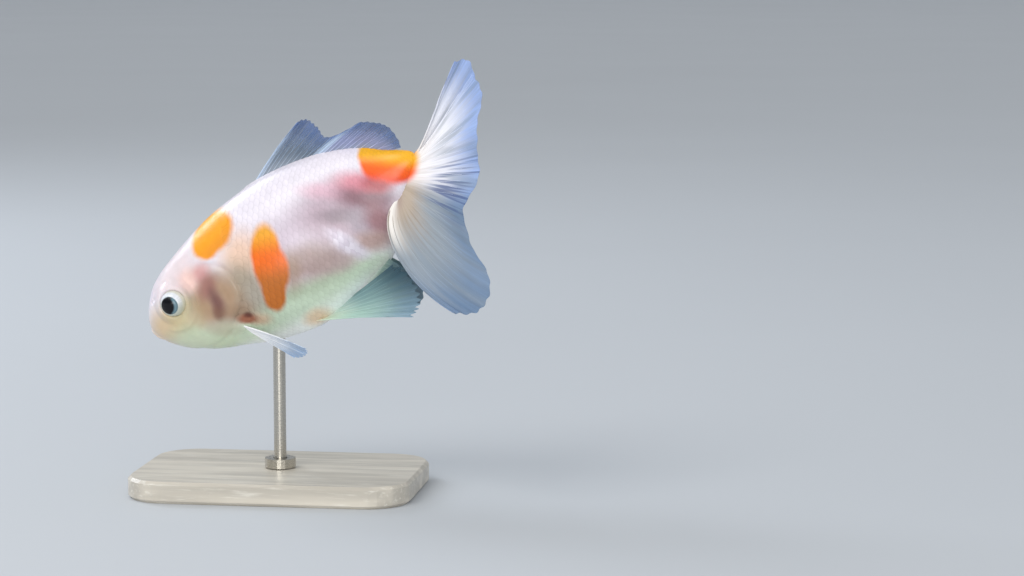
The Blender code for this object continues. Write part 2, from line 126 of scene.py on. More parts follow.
TAIL_ROOT_OUT = (0.55, 2.0)
TAIL = {
    "root": ((0, 0), (0.2, 0.155), (0.5, 0.64), (0.7, 0.86), (1, 1)),
    "out_root": ((0, 8), (0.5, 26), (0.8, 44), (1, 50)),
    "out_tip": ((0, 14), (0.5, 30), (0.8, 22), (1, 14)),
    "bend": ((0, -6), (0.3, 0), (0.5, 0), (0.7, 18), (0.85, 34), (1, 50)),
    "curl": ((0, 26), (0.15, 12), (0.3, 0), (0.6, 0), (0.75, 16), (0.9, 52), (1, 84)),
}
TAIL_SWEEP = {
    LEFT: ((0, 23), (0.1, 13), (0.2, 3), (0.3, -12.5), (0.4, -29), (0.5, -48), (0.6, -57), (0.7, -55),
           (1, -55.5)),
    RIGHT: ((0, 38), (0.1, 31.5), (0.2, 20), (0.3, 3), (0.4, -20), (0.5, -54), (0.6, -70), (0.7, -71.5),
            (1, -75)),
}
TAIL_LENGTH = {
    LEFT: ((0, 35.4), (0.1, 34.3), (0.2, 29.3), (0.3, 27.1), (0.4, 27.9), (0.5, 24.9), (0.6, 32.8),
           (0.7, 45.1), (0.8, 53.3), (0.9, 56), (1, 54)),
    RIGHT: ((0, 33.8), (0.1, 37.2), (0.2, 32.5), (0.3, 24.8), (0.4, 21), (0.5, 19), (0.6, 27), (0.7, 37),
            (0.8, 45.4), (0.9, 50), (1, 49)),
}
RIPPLE_HEIGHT, RIPPLES = 0.7, 5


def paint(code):
    """A colour as Blender holds it, from its six hexadecimal digits."""
    parts = [int(code[i:i + 2], 16) / 255 for i in (0, 2, 4)]
    return tuple(c / 12.92 if c <= 0.04045 else ((c + 0.055) / 1.055) ** 2.4 for c in parts)


def ink(code):
    """The same, with the fourth part that a colour socket has."""
    return (*paint(code), 1)


# Soft tints of the skin, each laid over those before it: name, centre (x, z), radii (along, upright), how
# far it is turned up towards the tail, the side, the colour, its strength and its softness.
BOTH = 0
TINTS = (
    # The belly's green tint is partly painted light, the greenish light of the water, over its own pale
    # ground.
    ("belly", (52, -18.8), (48, 9.2), -2, BOTH, "CCDEC4", 0.95, 0.3),
    ("underside", (42, -27), (62, 10.6), 0, BOTH, "FAFFFC", 1.0, 0.35),
    ("belly_edge", (54.5, -11.6), (12, 2.6), -8, BOTH, "AAB89E", 0.7, 0.7),
    ("mid_flank", (61, 1.5), (17, 10), -12, BOTH, "D0BECB", 0.75, 0.6),
    ("rear_flank", (77, 3.5), (14, 9), -28, BOTH, "BEA6B2", 0.85, 0.5),
    ("rear_blush", (75.5, 11.4), (8, 2.4), -32, BOTH, "E8BCCC", 0.75, 0.7),
    ("rear_dark", (84.8, 3.9), (8.6, 4.3), -38, BOTH, "8A606A", 0.88, 0.6),
    ("rear_shade", (75, 2.8), (6, 2.2), -30, BOTH, "93848C", 0.7, 0.7),
    ("rear_rose", (86.2, 8.6), (8.2, 2.8), -34, BOTH, "E4909E", 0.85, 0.7),
    ("rose_dark", (90, 5.6), (4.4, 2.6), -34, BOTH, "B04C50", 0.85, 0.7),
    ("rear_pale", (80, -2), (3.6, 4.6), 20, BOTH, "B2A6B0", 0.7, 0.6),
    ("rear_root", (85.2, -5.4), (3.9, 5.6), 10, BOTH, "9E6E72", 0.85, 0.7),
    ("rear_low", (80, -9.4), (6.5, 3.0), -25, BOTH, "B4948A", 0.85, 0.7),
    ("low_flank", (61, -5.4), (10, 5.4), -18, BOTH, "A48A82", 0.85, 0.6),
    ("low_flank_rear", (67.5, -9.6), (6.5, 3.0), -20, BOTH, "B29C98", 0.75, 0.7),
    ("flank_fringe", (53.8, -5.2), (3.2, 6.0), -22, LEFT, "A48874", 0.7, 0.7),
    # The glint tint is partly painted reflection: the paler streak where the scales reflect light, over their
    # own lavender ground.
    ("glint", (73.0, -6.2), (2.3, 7.0), 24, BOTH, "D6CDDC", 0.8, 0.6),
    ("peach", (42.3, 7), (6.5, 7.5), 0, BOTH, "F0C9AC", 0.85, 0.7),
    ("shoulder", (38.6, -3.4), (6.5, 9.5), 12, BOTH, "9A907A", 0.85, 0.6),
    ("forehead", (19, 12), (10, 7), 30, BOTH, "E6D2D2", 0.7, 0.6),
    ("snout", (7.5, -1), (8.5, 6.5), 0, BOTH, "D6BA8A", 0.85, 0.7),
    ("cheek", (17, -1.5), (7.5, 7.5), 0, BOTH, "C4B890", 0.85, 0.5),
    ("throat", (16, -11), (12, 5.5), -25, BOTH, "C8D6B8", 0.85, 0.5),
    ("gill_cover", (27.8, -1), (8.6, 10), 10, BOTH, "AC8A68", 0.9, 0.5),
    ("temple", (22.6, 8.6), (3.8, 3.6), 0, BOTH, "F8CFC4", 0.8, 0.7),
    ("gill_top", (27.6, 8.9), (3.0, 2.6), 0, BOTH, "D89E9C", 0.8, 0.7),
    ("gill_blush", (27.3, 4.2), (4.2, 2.9), 35, BOTH, "A06C66", 0.78, 0.7),
    ("gill_streak", (27.9, -1.8), (2.1, 4.6), -5, BOTH, "744848", 0.82, 0.8),
    ("gill_streak_end", (26.4, -5.4), (1.9, 2.6), -20, BOTH, "7A5244", 0.75, 0.7),
    ("throat_rear", (24.8, -10), (5, 2.6), -20, BOTH, "BABAA0", 0.7, 0.7),
    ("armpit_shade", (33, -8.3), (4.8, 2.7), -22, BOTH, "9C8064", 0.8, 0.7),
    ("armpit_glow", (36.8, -13.2), (3.6, 1.9), -28, BOTH, "CCA88C", 0.75, 0.7),
    # The armpit tints darken the hollow behind the pectoral fin's root: painted shade over a warm brown of
    # the skin's own.
    ("armpit", (33.7, -11.2), (3.2, 1.6), -28, BOTH, "965A40", 0.95, 0.5),
    ("armpit_core", (34.6, -10.2), (1.6, 0.9), -30, BOTH, "5A2A20", 0.85, 0.7),
    ("pelvic_root", (52.3, -21.7), (4, 2.6), 0, BOTH, "E8C8A0", 0.8, 0.7),
)
# The coloured patches: name, side, how far each reaches over the back or belly, three colours from the
# lowest edge to the highest, how high in the first oval each lies, and the ovals that make the patch up.
PATCHES = (
    ("nape", BOTH, 30, ("F0982A", "FBA312", "FFB614"), (-0.9, 0.0, 0.9),
     (((36.2, 18.2), (8.2, 6.3), 14), ((32.8, 15.4), (4.6, 3.9), 0))),
    ("flank", LEFT, 9, ("BE6A20", "F4701A", "F2AA34"), (-0.75, 0.0, 0.8),
     (((49.4, 2.4), (4.9, 10.9), -20), ((45.9, -8.0), (3.8, 6.3), -24), ((49.5, -2.2), (4.8, 7.4), -26))),
    ("far_flank", RIGHT, 9, ("CC6C14", "FA7E16", "FFA822"), (-0.8, 0.0, 0.8),
     (((60, 3), (6.5, 9), -10), ((66, 8), (5, 4), 20))),
    ("saddle", BOTH, 12, ("F04A20", "FF6612", "F8B622"), (-0.95, -0.4, 0.3),
     (((97.2, 9.0), (8.6, 6.6), -36), ((92.0, 13.4), (4.4, 6.8), -10))),
)
PATCH_EDGE = 0.2  # half the width of a patch's soft edge, as a share of its ovals
OVAL_MELTING = 0.35  # how far the ovals of one patch run into each other
TINT_REACH_OUT = 16  # how far a tint reaches out from the flank and in


def length_setting(name, description, default, least, most):
    """A length that the panel shows, from millimetres."""
    return FloatProperty(
        name=name, description=description, default=default * MM, min=least * MM, max=most * MM,
        precision=5, unit="LENGTH",
    )


def colour_setting(name, description, code):
    return FloatVectorProperty(
        name=name, description=description, default=paint(code), min=0, max=1, subtype="COLOR"
    )


class GoldfishSizes(bpy.types.PropertyGroup):
    """Sizes of what lies on the solids."""

    coat_depth: length_setting("Coat depth", "How far the skin lies under the tops of the scales", 0.2, 0, 1)
    scale_length: length_setting("Scale length", "Length of the largest scale", 4.12, 1, 12)
    scale_width: length_setting("Scale width", "Width of the largest scale", 4.12, 1, 12)
    eye_opening: length_setting(
        "Eye opening", "Radius of the round of skin that the eye shows through", EYE_OPENING, 2, EYE_RADIUS
    )
    ray_radius: length_setting("Ray radius", "Radius of a fin ray at its root", 0.21, 0.05, 1)
    ray_sides: IntProperty(
        name="Ray sides", description="Flat sides of each fin ray", default=6, min=3, max=12
    )


class GoldfishColours(bpy.types.PropertyGroup):
    """Colours of the skin, the eyes, the stand and the floor."""

    pearl: colour_setting("Pearl", "Ground colour of the skin and scales", "ECE5EF")
    iris: colour_setting("Iris", "Silver of the iris", "EEF1F8")
    wood: colour_setting("Wood", "Limed wood of the base", "D8D0C2")
    steel: colour_setting("Steel", "Brushed metal of the rod and collar", "C9C4BA")
    floor: colour_setting("Floor", "Plain floor under the model", "C6CACF")


# ---------------------------------------------------------------- curves and surfaces of the body


def smooth(knots, at):
    """A smooth curve through the knots, which are (place, value), read at each place in at."""
    place, value = np.array(knots, float).T
    slope = np.gradient(value, place)
    at = np.clip(at, place[0], place[-1])
    i = np.clip(np.searchsorted(place, at, side="right") - 1, 0, len(place) - 2)
    step = place[i + 1] - place[i]
    s = (at - place[i]) / step
    rest = 1 - s
    start = rest * rest * ((1 + 2 * s) * value[i] + s * step * slope[i])
    end = s * s * ((3 - 2 * s) * value[i + 1] - rest * step * slope[i + 1])
    return start + end


def station(x):
    """Distance behind the lips as a share of the body, crowded at both ends so that they close round."""
    return np.arccos(1 - 2 * np.clip(np.asarray(x, float) / BODY_LENGTH, 0, 1)) / math.pi


def profile(knots, x):
    return smooth([(station(place), value) for place, value in knots], station(x))


def body_at(x):
    """At x: the heights of the back, the belly and the widest place, and the power of the roundness."""
    back, belly = profile(BACK, x), profile(BELLY, x)
    return back, belly, belly + WIDEST * (back - belly), profile(FULLNESS, x)


def rounded(share, power):
    """What is left of a breadth, at a share of the way out to where it ends."""
    return (1 - np.clip(share, 0, 1) ** power) ** (1 / power)


def flank(x, z):
    """Half the body's breadth at that distance behind the lips and that height."""
    back, belly, middle, power = body_at(x)
    reach = np.where(z > middle, back - middle, middle - belly)
    return profile(HALF_BREADTH, x) * rounded(np.abs(z - middle) / np.maximum(reach, 1e-6), power)


def eye_out():
    """How far out from the middle of the fish the middle of each eye lies."""
    return float(flank(EYE_STATION, EYE_HEIGHT)) + EYE_PROUD - EYE_RADIUS


def underside(x, y):
    """The height of the body's lower surface at that distance behind the lips and that far out."""
    _, belly, middle, power = body_at(x)
    return middle - (middle - belly) * rounded(np.abs(y) / profile(HALF_BREADTH, x), power)


def section(x, turn):
    """Points of the body's cross-section at x. turn is 0 at the back and half a turn at the belly."""
    back, belly, middle, fullness = body_at(x)
    power = 2 / fullness
    sine, cosine = np.sin(turn), np.cos(turn)
    y = profile(HALF_BREADTH, x) * np.sign(sine) * np.abs(sine) ** power
    reach = np.where(cosine > 0, back - middle, middle - belly)
    z = middle + reach * np.sign(cosine) * np.abs(cosine) ** power
    return np.stack(np.broadcast_arrays(x, y, z), -1)


def ease(value, start, end):
    """0 up to start and 1 past end, with a soft rise between them."""
    share = np.clip((value - start) / (end - start), 0, 1)
    return share * share * (3 - 2 * share)


def hump(distance, width):
    return np.exp(-((distance / width) ** 2))


def mound(x, z, centre, radii):
    """1 in the middle of an oval, with a soft fall all round it."""
    return hump(np.hypot((x - centre[0]) / radii[0], (z - centre[1]) / radii[1]), 1.0)


def turned(vectors, pitch=PITCH):
    """Level directions, tipped as the fish is."""
    x, y, z = np.moveaxis(np.asarray(vectors, float), -1, 0)
    sine, cosine = math.sin(pitch), math.cos(pitch)
    return np.stack([x * cosine - z * sine, y, x * sine + z * cosine], -1)


def fish_place():
    """Where the level fish's origin, its lips, comes to lie, in metres."""
    rod_enters = np.array([ROD_STATION, 0, float(profile(BELLY, ROD_STATION))]) * MM
    belly_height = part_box("stand_rod")[1].z - ROD_SOCKET * MM
    return np.array([0, 0, belly_height]) - turned(rod_enters)


def placed(points):
    """Level points in millimetres, tipped nose down and set on the rod, in metres."""
    return turned(np.asarray(points, float) * MM) + fish_place()


def normals_of(grid):
    """Unit normals of a grid of points."""
    down, across = np.gradient(grid, axis=0), np.gradient(grid, axis=1)
    normal = np.cross(down, across)
    return normal / np.maximum(np.linalg.norm(normal, axis=-1, keepdims=True), 1e-9)


# ---------------------------------------------------------------- meshes and modifiers


def new_mesh_object(name, points, faces, edges=()):
    mesh = bpy.data.meshes.new(name)
    mesh.from_pydata(np.asarray(points).tolist(), np.asarray(edges, int).tolist(), faces)
    obj = bpy.data.objects.new(name, mesh)
    bpy.context.scene.collection.objects.link(obj)
    return obj


def store(obj, name, values):
    """Keeps one number, or one vector, for each point of an object's mesh."""
    values = np.asarray(values, np.float32)
    kind, part = ("FLOAT", "value") if values.ndim == 1 else ("FLOAT_VECTOR", "vector")
    attribute = obj.data.attributes.new(name, kind, "POINT")
    attribute.data.foreach_set(part, values.ravel())


def grid_faces(rows, columns, start=0, closed=False, turned_over=False):
    """Four-sided faces over a grid of points counted row by row."""
    r, c = np.meshgrid(np.arange(rows - 1), np.arange(columns if closed else columns - 1), indexing="ij")
    after = (c + 1) % columns
    corners = [r * columns + c, r * columns + after, (r + 1) * columns + after, (r + 1) * columns + c]
    faces = np.stack(corners, -1).reshape(-1, 4) + start
    return (faces[:, ::-1] if turned_over else faces).tolist()


def capped_faces(rings, columns):
    """Faces over closed rings of points, with one point before the first ring and one after the last."""
    faces, last = grid_faces(rings, columns, 1, closed=True), rings * columns + 1
    for k in range(columns):
        after = (k + 1) % columns
        faces.append((0, 1 + after, 1 + k))
        faces.append((last, last - columns + k, last - columns + after))
    return faces


def tidy_mesh(obj, sharp=None):
    """Turns the faces outwards and shades them smooth, but for edges sharper than that angle."""
    work = bmesh.new()
    work.from_mesh(obj.data)
    bmesh.ops.recalc_face_normals(work, faces=work.faces)
    work.to_mesh(obj.data)
    work.free()
    obj.data.shade_smooth()
    if sharp:
        obj.data.set_sharp_from_angle(angle=math.radians(sharp))


def made_plain(obj):
    """Replaces an object's mesh by what its modifiers make of it."""
    bpy.context.view_layer.update()
    graph = bpy.context.evaluated_depsgraph_get()
    mesh = bpy.data.meshes.new_from_object(
        obj.evaluated_get(graph), preserve_all_data_layers=True, depsgraph=graph
    )
    obj.modifiers.clear()
    raw, obj.data = obj.data, mesh
    bpy.data.meshes.remove(raw)
    mesh.name = obj.name
    return obj


def finish_piece(obj, slot, *nodes):
    """Sets a finished piece on the fish, in the place of those solids."""
    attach(obj, "root")
    if nodes:
        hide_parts(*nodes)


SOCKET_KINDS = {float: "Float", int: "Int", tuple: "Color"}
WHITE = (1.0, 1.0, 1.0, 1.0)


class Nodes:
    """Adds nodes to a tree. Each feed is a socket, a node whose first output is meant, or a value."""

    def __init__(self, tree):
        self.tree = tree

    def add(self, kind, *feeds, **settings):
        node = self.tree.nodes.new(kind)
        for name, value in settings.items():
            setattr(node, name, value)
        for socket, feed in zip(node.inputs, feeds):
            self.feed(socket, feed)
        return node

    def feed(self, socket, feed):
        if isinstance(feed, bpy.types.Node):
            feed = feed.outputs[0]
        if isinstance(feed, bpy.types.NodeSocket):
            self.tree.links.new(feed, socket)
        else:
            socket.default_value = feed

    def plug(self, node, **feeds):
        """Feeds a node's sockets, each found by its name with an underscore for a space."""
        for name, feed in feeds.items():
            self.feed(node.inputs[name.replace("_", " ")], feed)
        return node

    def math(self, operation, *feeds, clamp=False):
        return self.add("ShaderNodeMath", *feeds, operation=operation, use_clamp=clamp)

    def times(self, first, *others):
        for other in others:
            first = self.math("MULTIPLY", first, other)
        return first

    def plus(self, first, second, clamp=False):
        return self.math("ADD", first, second, clamp=clamp)

    def minus(self, first, second):
        return self.math("SUBTRACT", first, second)

    def away(self, value, middle):
        """How far a value is from the middle."""
        return self.math("ABSOLUTE", self.minus(value, middle))

    def split(self, vector):
        return self.add("ShaderNodeSeparateXYZ", vector).outputs

    def join(self, x, y, z):
        return self.add("ShaderNodeCombineXYZ", x, y, z)

    def grey(self, value):
        return self.join(value, value, value)

    def scaled(self, vector, factor):
        return self.plug(self.vector("SCALE", vector), Scale=factor)

    def vector(self, operation, *feeds):
        return self.add("ShaderNodeVectorMath", *feeds, operation=operation)

    def measure(self, operation, *feeds):
        """The one number that a vector operation gives."""
        return self.vector(operation, *feeds).outputs["Value"]

    def place(self):
        """Where a point lies on its object, in metres."""
        return self.add("ShaderNodeTexCoord").outputs["Object"]

    def rise(self, value, start, end, low=0.0, high=1.0):
        """A soft rise from low, at start, to high, at end."""
        return self.add("ShaderNodeMapRange", value, start, end, low, high, interpolation_type="SMOOTHSTEP")

    def mix(self, factor, first, second, blend="MIX"):
        node = self.add("ShaderNodeMix", data_type="RGBA", blend_type=blend)
        for index, feed in ((0, factor), (6, first), (7, second)):
            self.feed(node.inputs[index], feed)
        return node.outputs[2]

    def noise(self, vector, scale, detail=2.0, roughness=0.5, output="Fac"):
        node = self.add("ShaderNodeTexNoise")
        self.plug(node, Vector=vector, Scale=scale, Detail=detail, Roughness=roughness)
        return node.outputs[output]

    def group(self, tree, **feeds):
        return self.plug(self.add("ShaderNodeGroup", node_tree=tree), **feeds)

    def attribute(self, name, output="Vector"):
        """An attribute as a material reads it."""
        return self.add("ShaderNodeAttribute", attribute_name=name).outputs[output]

    def named(self, name, kind="FLOAT_VECTOR"):
        """An attribute as Geometry Nodes read it."""
        return self.add("GeometryNodeInputNamedAttribute", name, data_type=kind).outputs[0]

    def keep(self, geometry, name, value, kind="FLOAT", domain="POINT"):
        """The geometry with a value stored on it."""
        node = self.add("GeometryNodeStoreNamedAttribute", data_type=kind, domain=domain)
        return self.plug(node, Geometry=geometry, Name=name, Value=value)

    def finish(self, geometry, material):
        return self.plug(self.add("GeometryNodeSetMaterial", geometry), Material=material)

    def chance(self, seed, low=0.0, high=1.0):
        """A random value for each point."""
        node = self.add("FunctionNodeRandomValue", data_type="FLOAT")
        for socket, feed in ((2, low), (3, high), ("Seed", seed)):
            self.feed(node.inputs[socket], feed)
        return node.outputs[1]

    def bump(self, shader, height, strength, millimetres):
        """Feeds a shader's Normal from a height, whose full swing stands for that many millimetres."""
        node = self.add("ShaderNodeBump")
        self.plug(node, Strength=strength, Distance=millimetres * MM, Height=height)
        self.plug(shader, Normal=node)


def new_group(name, inputs, outputs, kind="ShaderNodeTree"):
    """A node group, its helper, and its input and output nodes. Each socket has a default or a kind."""
    tree = bpy.data.node_groups.new(name, kind)
    for in_out, sockets in (("INPUT", inputs), ("OUTPUT", outputs)):
        for socket_name, value in sockets.items():
            socket_kind = value if isinstance(value, str) else SOCKET_KINDS[type(value)]
            socket_type = "NodeSocket" + socket_kind
            socket = tree.interface.new_socket(socket_name, in_out=in_out, socket_type=socket_type)
            if value is not socket_kind:
                socket.default_value = value
    nodes = Nodes(tree)
    return tree, nodes, tree.nodes.new("NodeGroupInput"), tree.nodes.new("NodeGroupOutput")


def set_inputs(modifier, **values):
    """Sets the inputs of a Geometry Nodes modifier, each found by its name."""
    for item in modifier.node_group.interface.items_tree:
        key = item.name.lower().replace(" ", "_")
        if item.item_type == "SOCKET" and item.in_out == "INPUT" and key in values:
            modifier[item.identifier] = values[key]


def new_material(name, roughness, metallic=0.0, **sockets):
    """A material, its helper, and its Principled BSDF with values set on those sockets."""
    material = bpy.data.materials.new(name)
    material.use_nodes = True
    nodes, shader = Nodes(material.node_tree), material.node_tree.nodes["Principled BSDF"]
    return material, nodes, nodes.plug(shader, Roughness=roughness, Metallic=metallic, **sockets)


# ---------------------------------------------------------------- shared effects


def level_place(nodes):
    """Object coordinates as level places in millimetres."""
    return nodes.add(
        "ShaderNodeMapping", nodes.place(), tuple(fish_place()), (0, -PITCH, 0), (MM, MM, MM),
        vector_type="TEXTURE",
    )


def oval_in(nodes, place, centre, radii, turn, side, reach_out):
    """(length, own coordinates) in one oval on the body, whose edge has a length of 1."""
    x, z = centre
    out = float(flank(x, z)) * (side or RIGHT)
    oval = nodes.add(
        "ShaderNodeMapping", place, (x, out, z), (0, -math.radians(turn), 0), (radii[0], reach_out, radii[1]),
        vector_type="TEXTURE",
    )
    return nodes.measure("LENGTH", oval), oval


def markings_group():
    """The fish's colours, which skin, scales and the roots of the fins share."""
    tree, nodes, given, made = new_group(
        "Markings",
        {"Ground": WHITE, "Wander": 1.4},
        {"Color": "Color", "Glint": "Float", "Patch": "Float"},
    )
    place = level_place(nodes)
    drift = nodes.vector("SUBTRACT", nodes.noise(place, 0.22, 3.0, output="Color"), (0.5, 0.5, 0.5))
    place = nodes.vector("ADD", place, nodes.scaled(drift, given.outputs["Wander"]))
    along, out, height = nodes.split(place)
    mirrored = nodes.join(along, nodes.math("ABSOLUTE", out), height)
    colour = given.outputs["Ground"]
    glint = None
    for name, centre, radii, turn, side, tint, strength, soft in TINTS:
        length, _ = oval_in(nodes, place if side else mirrored, centre, radii, turn, side, TINT_REACH_OUT)
        mask = nodes.rise(length, 1 - soft, 1 + soft, 1.0, 0.0)
        colour = nodes.mix(nodes.times(mask, strength), colour, ink(tint))
        glint = mask if name == "glint" else glint
    patched = None
    for _, side, reach_out, tints, heights, ovals in PATCHES:
        parted = [oval_in(nodes, place if side else mirrored, *oval, side, reach_out) for oval in ovals]
        length = parted[0][0]
        for other, _ in parted[1:]:
            length = nodes.math("SMOOTH_MIN", length, other, OVAL_MELTING)
        mask = nodes.rise(length, 1 - PATCH_EDGE, 1 + PATCH_EDGE, 1.0, 0.0)
        height = nodes.split(parted[0][1])[2]
        low, middle, high = (ink(tint) for tint in tints)
        tint = nodes.mix(nodes.rise(height, *heights[:2]), low, middle)
        tint = nodes.mix(nodes.rise(height, *heights[1:]), tint, high)
        colour = nodes.mix(mask, colour, tint)
        patched = nodes.math("MAXIMUM", patched, mask) if patched else mask
    nodes.plug(made, Color=colour, Glint=glint, Patch=patched)
    return tree


def mottle_group():
    """Fine uneven tone and grain, which keeps any surface from looking moulded."""
    tree, nodes, given, made = new_group(
        "Mottle",
        {"Color": WHITE, "Size": 0.5, "Depth": 0.1},
        {"Color": "Color", "Grain": "Float"},
    )
    grain = nodes.noise(nodes.scaled(level_place(nodes), given.outputs["Size"]), 1.0, 2.5)
    swing = nodes.times(nodes.minus(grain, 0.5), given.outputs["Depth"])
    shade = nodes.grey(nodes.plus(nodes.times(swing, 2.0), 1.0))
    nodes.plug(made, Color=nodes.mix(1.0, given.outputs["Color"], shade, "MULTIPLY"), Grain=grain)
    return tree


def shared(name, maker):
    """A node group, built the first time that a material asks for it."""
    return bpy.data.node_groups.get(name) or maker()


def marked(nodes, colours, depth):
    """The fish's markings on their pearly ground, and the same with an uneven tone of that depth."""
    marks = nodes.group(shared("Markings", markings_group), Ground=(*colours.pearl, 1))
    return marks, nodes.group(shared("Mottle", mottle_group), Color=marks, Size=0.4, Depth=depth)


# ---------------------------------------------------------------- skin

SKIN_RINGS, SKIN_SEGMENTS, HEAD_CROWDING = 380, 200, 1.3
INSIDE = (50, 0, 0)  # a place in the middle of the body, to tell outwards from inwards
MOUTH_HALF_WIDTH, MOUTH_HALF_HEIGHT, MOUTH_DEPTH = 3.0, 0.6, 2.6
MOUTH_LINE, MOUTH_DROOP = -0.1, 1.5
LIPS_END = 3.5
NOSTRILS = ((6.3, 8.3, 0.8), (7.3, 8.9, 0.65))  # (x, z, depth) of each opening
CHEEK_RADIUS, CHEEK_RISE, CHEEK_RIM = 8.8, 0.25, 0.2
THROAT_FOLD = ((4, -9.5), (12, -12.6), (22, -13.5), (32, -10))


def mouth_height(out):
    """The line where the lips meet, lower at its corners."""
    return MOUTH_LINE - MOUTH_DROOP * (out / MOUTH_HALF_WIDTH) ** 2


def mouth_opening(out):
    """Half the gap between the lips, that far out."""
    return MOUTH_HALF_HEIGHT * np.sqrt(np.clip(1 - (out / MOUTH_HALF_WIDTH) ** 2, 0, 1))


def lips_relief(x, z, out):
    """The lips, and the fold behind them."""
    above = np.maximum(np.abs(z - mouth_height(out)) - mouth_opening(out), 0)
    off = np.hypot(above, np.maximum(out - MOUTH_HALF_WIDTH, 0))
    return (1 - ease(x, LIPS_END, 6.0)) * (0.3 * hump(off - 0.7, 0.7) - 0.2 * hump(off - 2.2, 0.8))


def cheek_relief(x, z):
    """The cheek, a soft disc behind and below the eye, with a raised rim."""
    from_eye = np.hypot(x - EYE_STATION, z - EYE_HEIGHT)
    bearing = np.arctan2(z - EYE_HEIGHT, x - EYE_STATION)
    behind_eye = ease(np.cos(bearing + math.radians(48)), -0.05, 0.4)
    disc = CHEEK_RISE * (1 - ease(from_eye, CHEEK_RADIUS, CHEEK_RADIUS + 1.1))
    return behind_eye * (disc + CHEEK_RIM * hump(from_eye - CHEEK_RADIUS - 0.1, 0.8))


def gill_relief(x, z):
    """The gill cover, faintly ridged, with a crisp rear edge over a slit."""
    along, high = x - GILL_CENTRE[0], (z - GILL_CENTRE[1]) / GILL_REACH_HIGH
    share = np.hypot(along / np.where(along > 0, GILL_REACH_BACK, GILL_REACH_FRONT), high)
    rear = ease(np.cos(np.arctan2(high, along / GILL_REACH_BACK)), -0.35, 0.3)
    plate = 0.4 * rear * (1 - ease(share, 0.9, 1.04)) + 0.25 * (1 - rear) * (1 - ease(share, 0.5, 1.0))
    slit = 0.4 * rear * hump(share - 1.08, 0.06)
    return plate - slit + 0.08 * np.sin(share * 9) * (1 - ease(share, 0.75, 0.95)) * rear


def head_relief(x, y, z):
    """How far the skin stands out from the plain body, by the shapes of the head."""
    relief = lips_relief(x, z, np.abs(y)) + cheek_relief(x, z) + gill_relief(x, z)
    relief -= 0.35 * hump(z - smooth(THROAT_FOLD, x), 0.7) * ease(x, 5, 9) * (1 - ease(x, 26, 31))
    for pit_x, pit_z, depth in NOSTRILS:
        relief -= depth * hump(np.hypot(x - pit_x, z - pit_z), 0.5)
    relief += 0.5 * mound(x, z, (6.85, 8.45), (0.45, 0.9))  # the flap between them
    return relief + 0.35 * mound(x, z, (14, 11.2), (7, 2.2))  # the brow


def body_relief(x, y, z):
    """How far the skin stands out from the plain body behind the head, under the scales."""
    out = np.abs(y)
    root_x, root_z = PECTORAL_ROOT
    relief = 0.7 * hump(np.hypot(x - root_x, z - root_z), 2.4)
    relief -= 0.9 * mound(x, z, (root_x + 3.2, root_z + 2.3), (2.6, 1.5))
    # The ridge that bears the dorsal fin.
    relief += 0.55 * hump(out, 1.1) * ease(z, 3, 8) * ease(x, 47, 52) * (1 - ease(x, 92, 96))
    # The flesh of the pelvic fins, and the vent.
    under = ease(-z, 4, 8)
    relief += 0.5 * under * mound(x, out, (49.5, 6), (4.5, 2.2))
    relief += 0.8 * under * mound(x, out, (66.5, 0), (1.6, 1.3))
    return relief - 0.35 * under * mound(x, out, (67.5, 0), (0.9, 0.6))


def sink_eyes(points, opening):
    """Draws the skin round each eye onto the ball, and leaves a hollow behind it."""
    x, y, z = np.moveaxis(points, -1, 0)
    side = np.sign(y)
    from_eye = np.hypot(x - EYE_STATION, z - EYE_HEIGHT)
    lid = eye_out() + math.sqrt(EYE_RADIUS**2 - opening**2) + LID_HEIGHT
    lid = lid + LID_RIM * hump(from_eye - opening - 0.45, 0.5)
    nearness = 1 - ease(from_eye, opening + 0.5, opening + SOCKET_REACH)
    hollow = SOCKET_DEPTH * (1 - ease(from_eye, opening - 0.55, opening))
    pulled = side * (np.abs(y) * (1 - nearness) + (lid - hollow) * nearness)
    beside = (np.abs(y) > BESIDE_HEAD) & (from_eye < opening + SOCKET_REACH)
    return np.stack([x, np.where(beside, pulled, y), z], -1)


def skin_grid(coat_depth, opening):
    """The skin's points, ring by ring from the lips to the tail, and their level directions outwards."""
    share = (np.arange(SKIN_RINGS + 1) / SKIN_RINGS) ** HEAD_CROWDING
    x = BODY_LENGTH * (1 - np.cos(math.pi * share)) / 2
    turn = 2 * math.pi * np.arange(SKIN_SEGMENTS) / SKIN_SEGMENTS
    rings = section(x[:, None], turn[None, :])
    wrapped = np.concatenate([rings[:, -1:], rings, rings[:, :1]], 1)
    outward = -normals_of(wrapped)[:, 1:-1]
    outward *= np.sign((outward * (rings - INSIDE)).sum(-1, keepdims=True))
    x, y, z = np.moveaxis(rings, -1, 0)
    scaled = ease(x - smooth(GILL_LINE, z), 0.2, 2.2)
    relief = head_relief(x, y, z) + body_relief(x, y, z) - coat_depth * scaled
    points = rings + outward * relief[..., None]
    out = np.abs(y)
    gape = 1 - ease(np.abs(z - mouth_height(out)) / np.maximum(mouth_opening(out), 1e-3), 0.45, 1.15)
    points[..., 0] += MOUTH_DEPTH * gape * (1 - ease(x, LIPS_END, 5.0)) * (out < MOUTH_HALF_WIDTH)
    return sink_eyes(points, opening), outward


def skin_material(colours):
    material, nodes, shader = new_material(
        "pearly_skin", 0.4, Specular_IOR_Level=0.3, Coat_Weight=0.22, Coat_Roughness=0.2,
        Subsurface_Weight=0.1, Subsurface_Radius=(0.004, 0.002, 0.0015), Subsurface_Scale=1.0,
    )
    _, mottle = marked(nodes, colours, 0.09)
    rough = nodes.rise(mottle.outputs["Grain"], 0.3, 0.7, 0.3, 0.48)
    nodes.plug(shader, Base_Color=mottle, Roughness=rough)
    pores = nodes.noise(level_place(nodes), 2.4, 4.0, 0.65)
    nodes.bump(shader, pores, 0.35, 0.12)
    return material


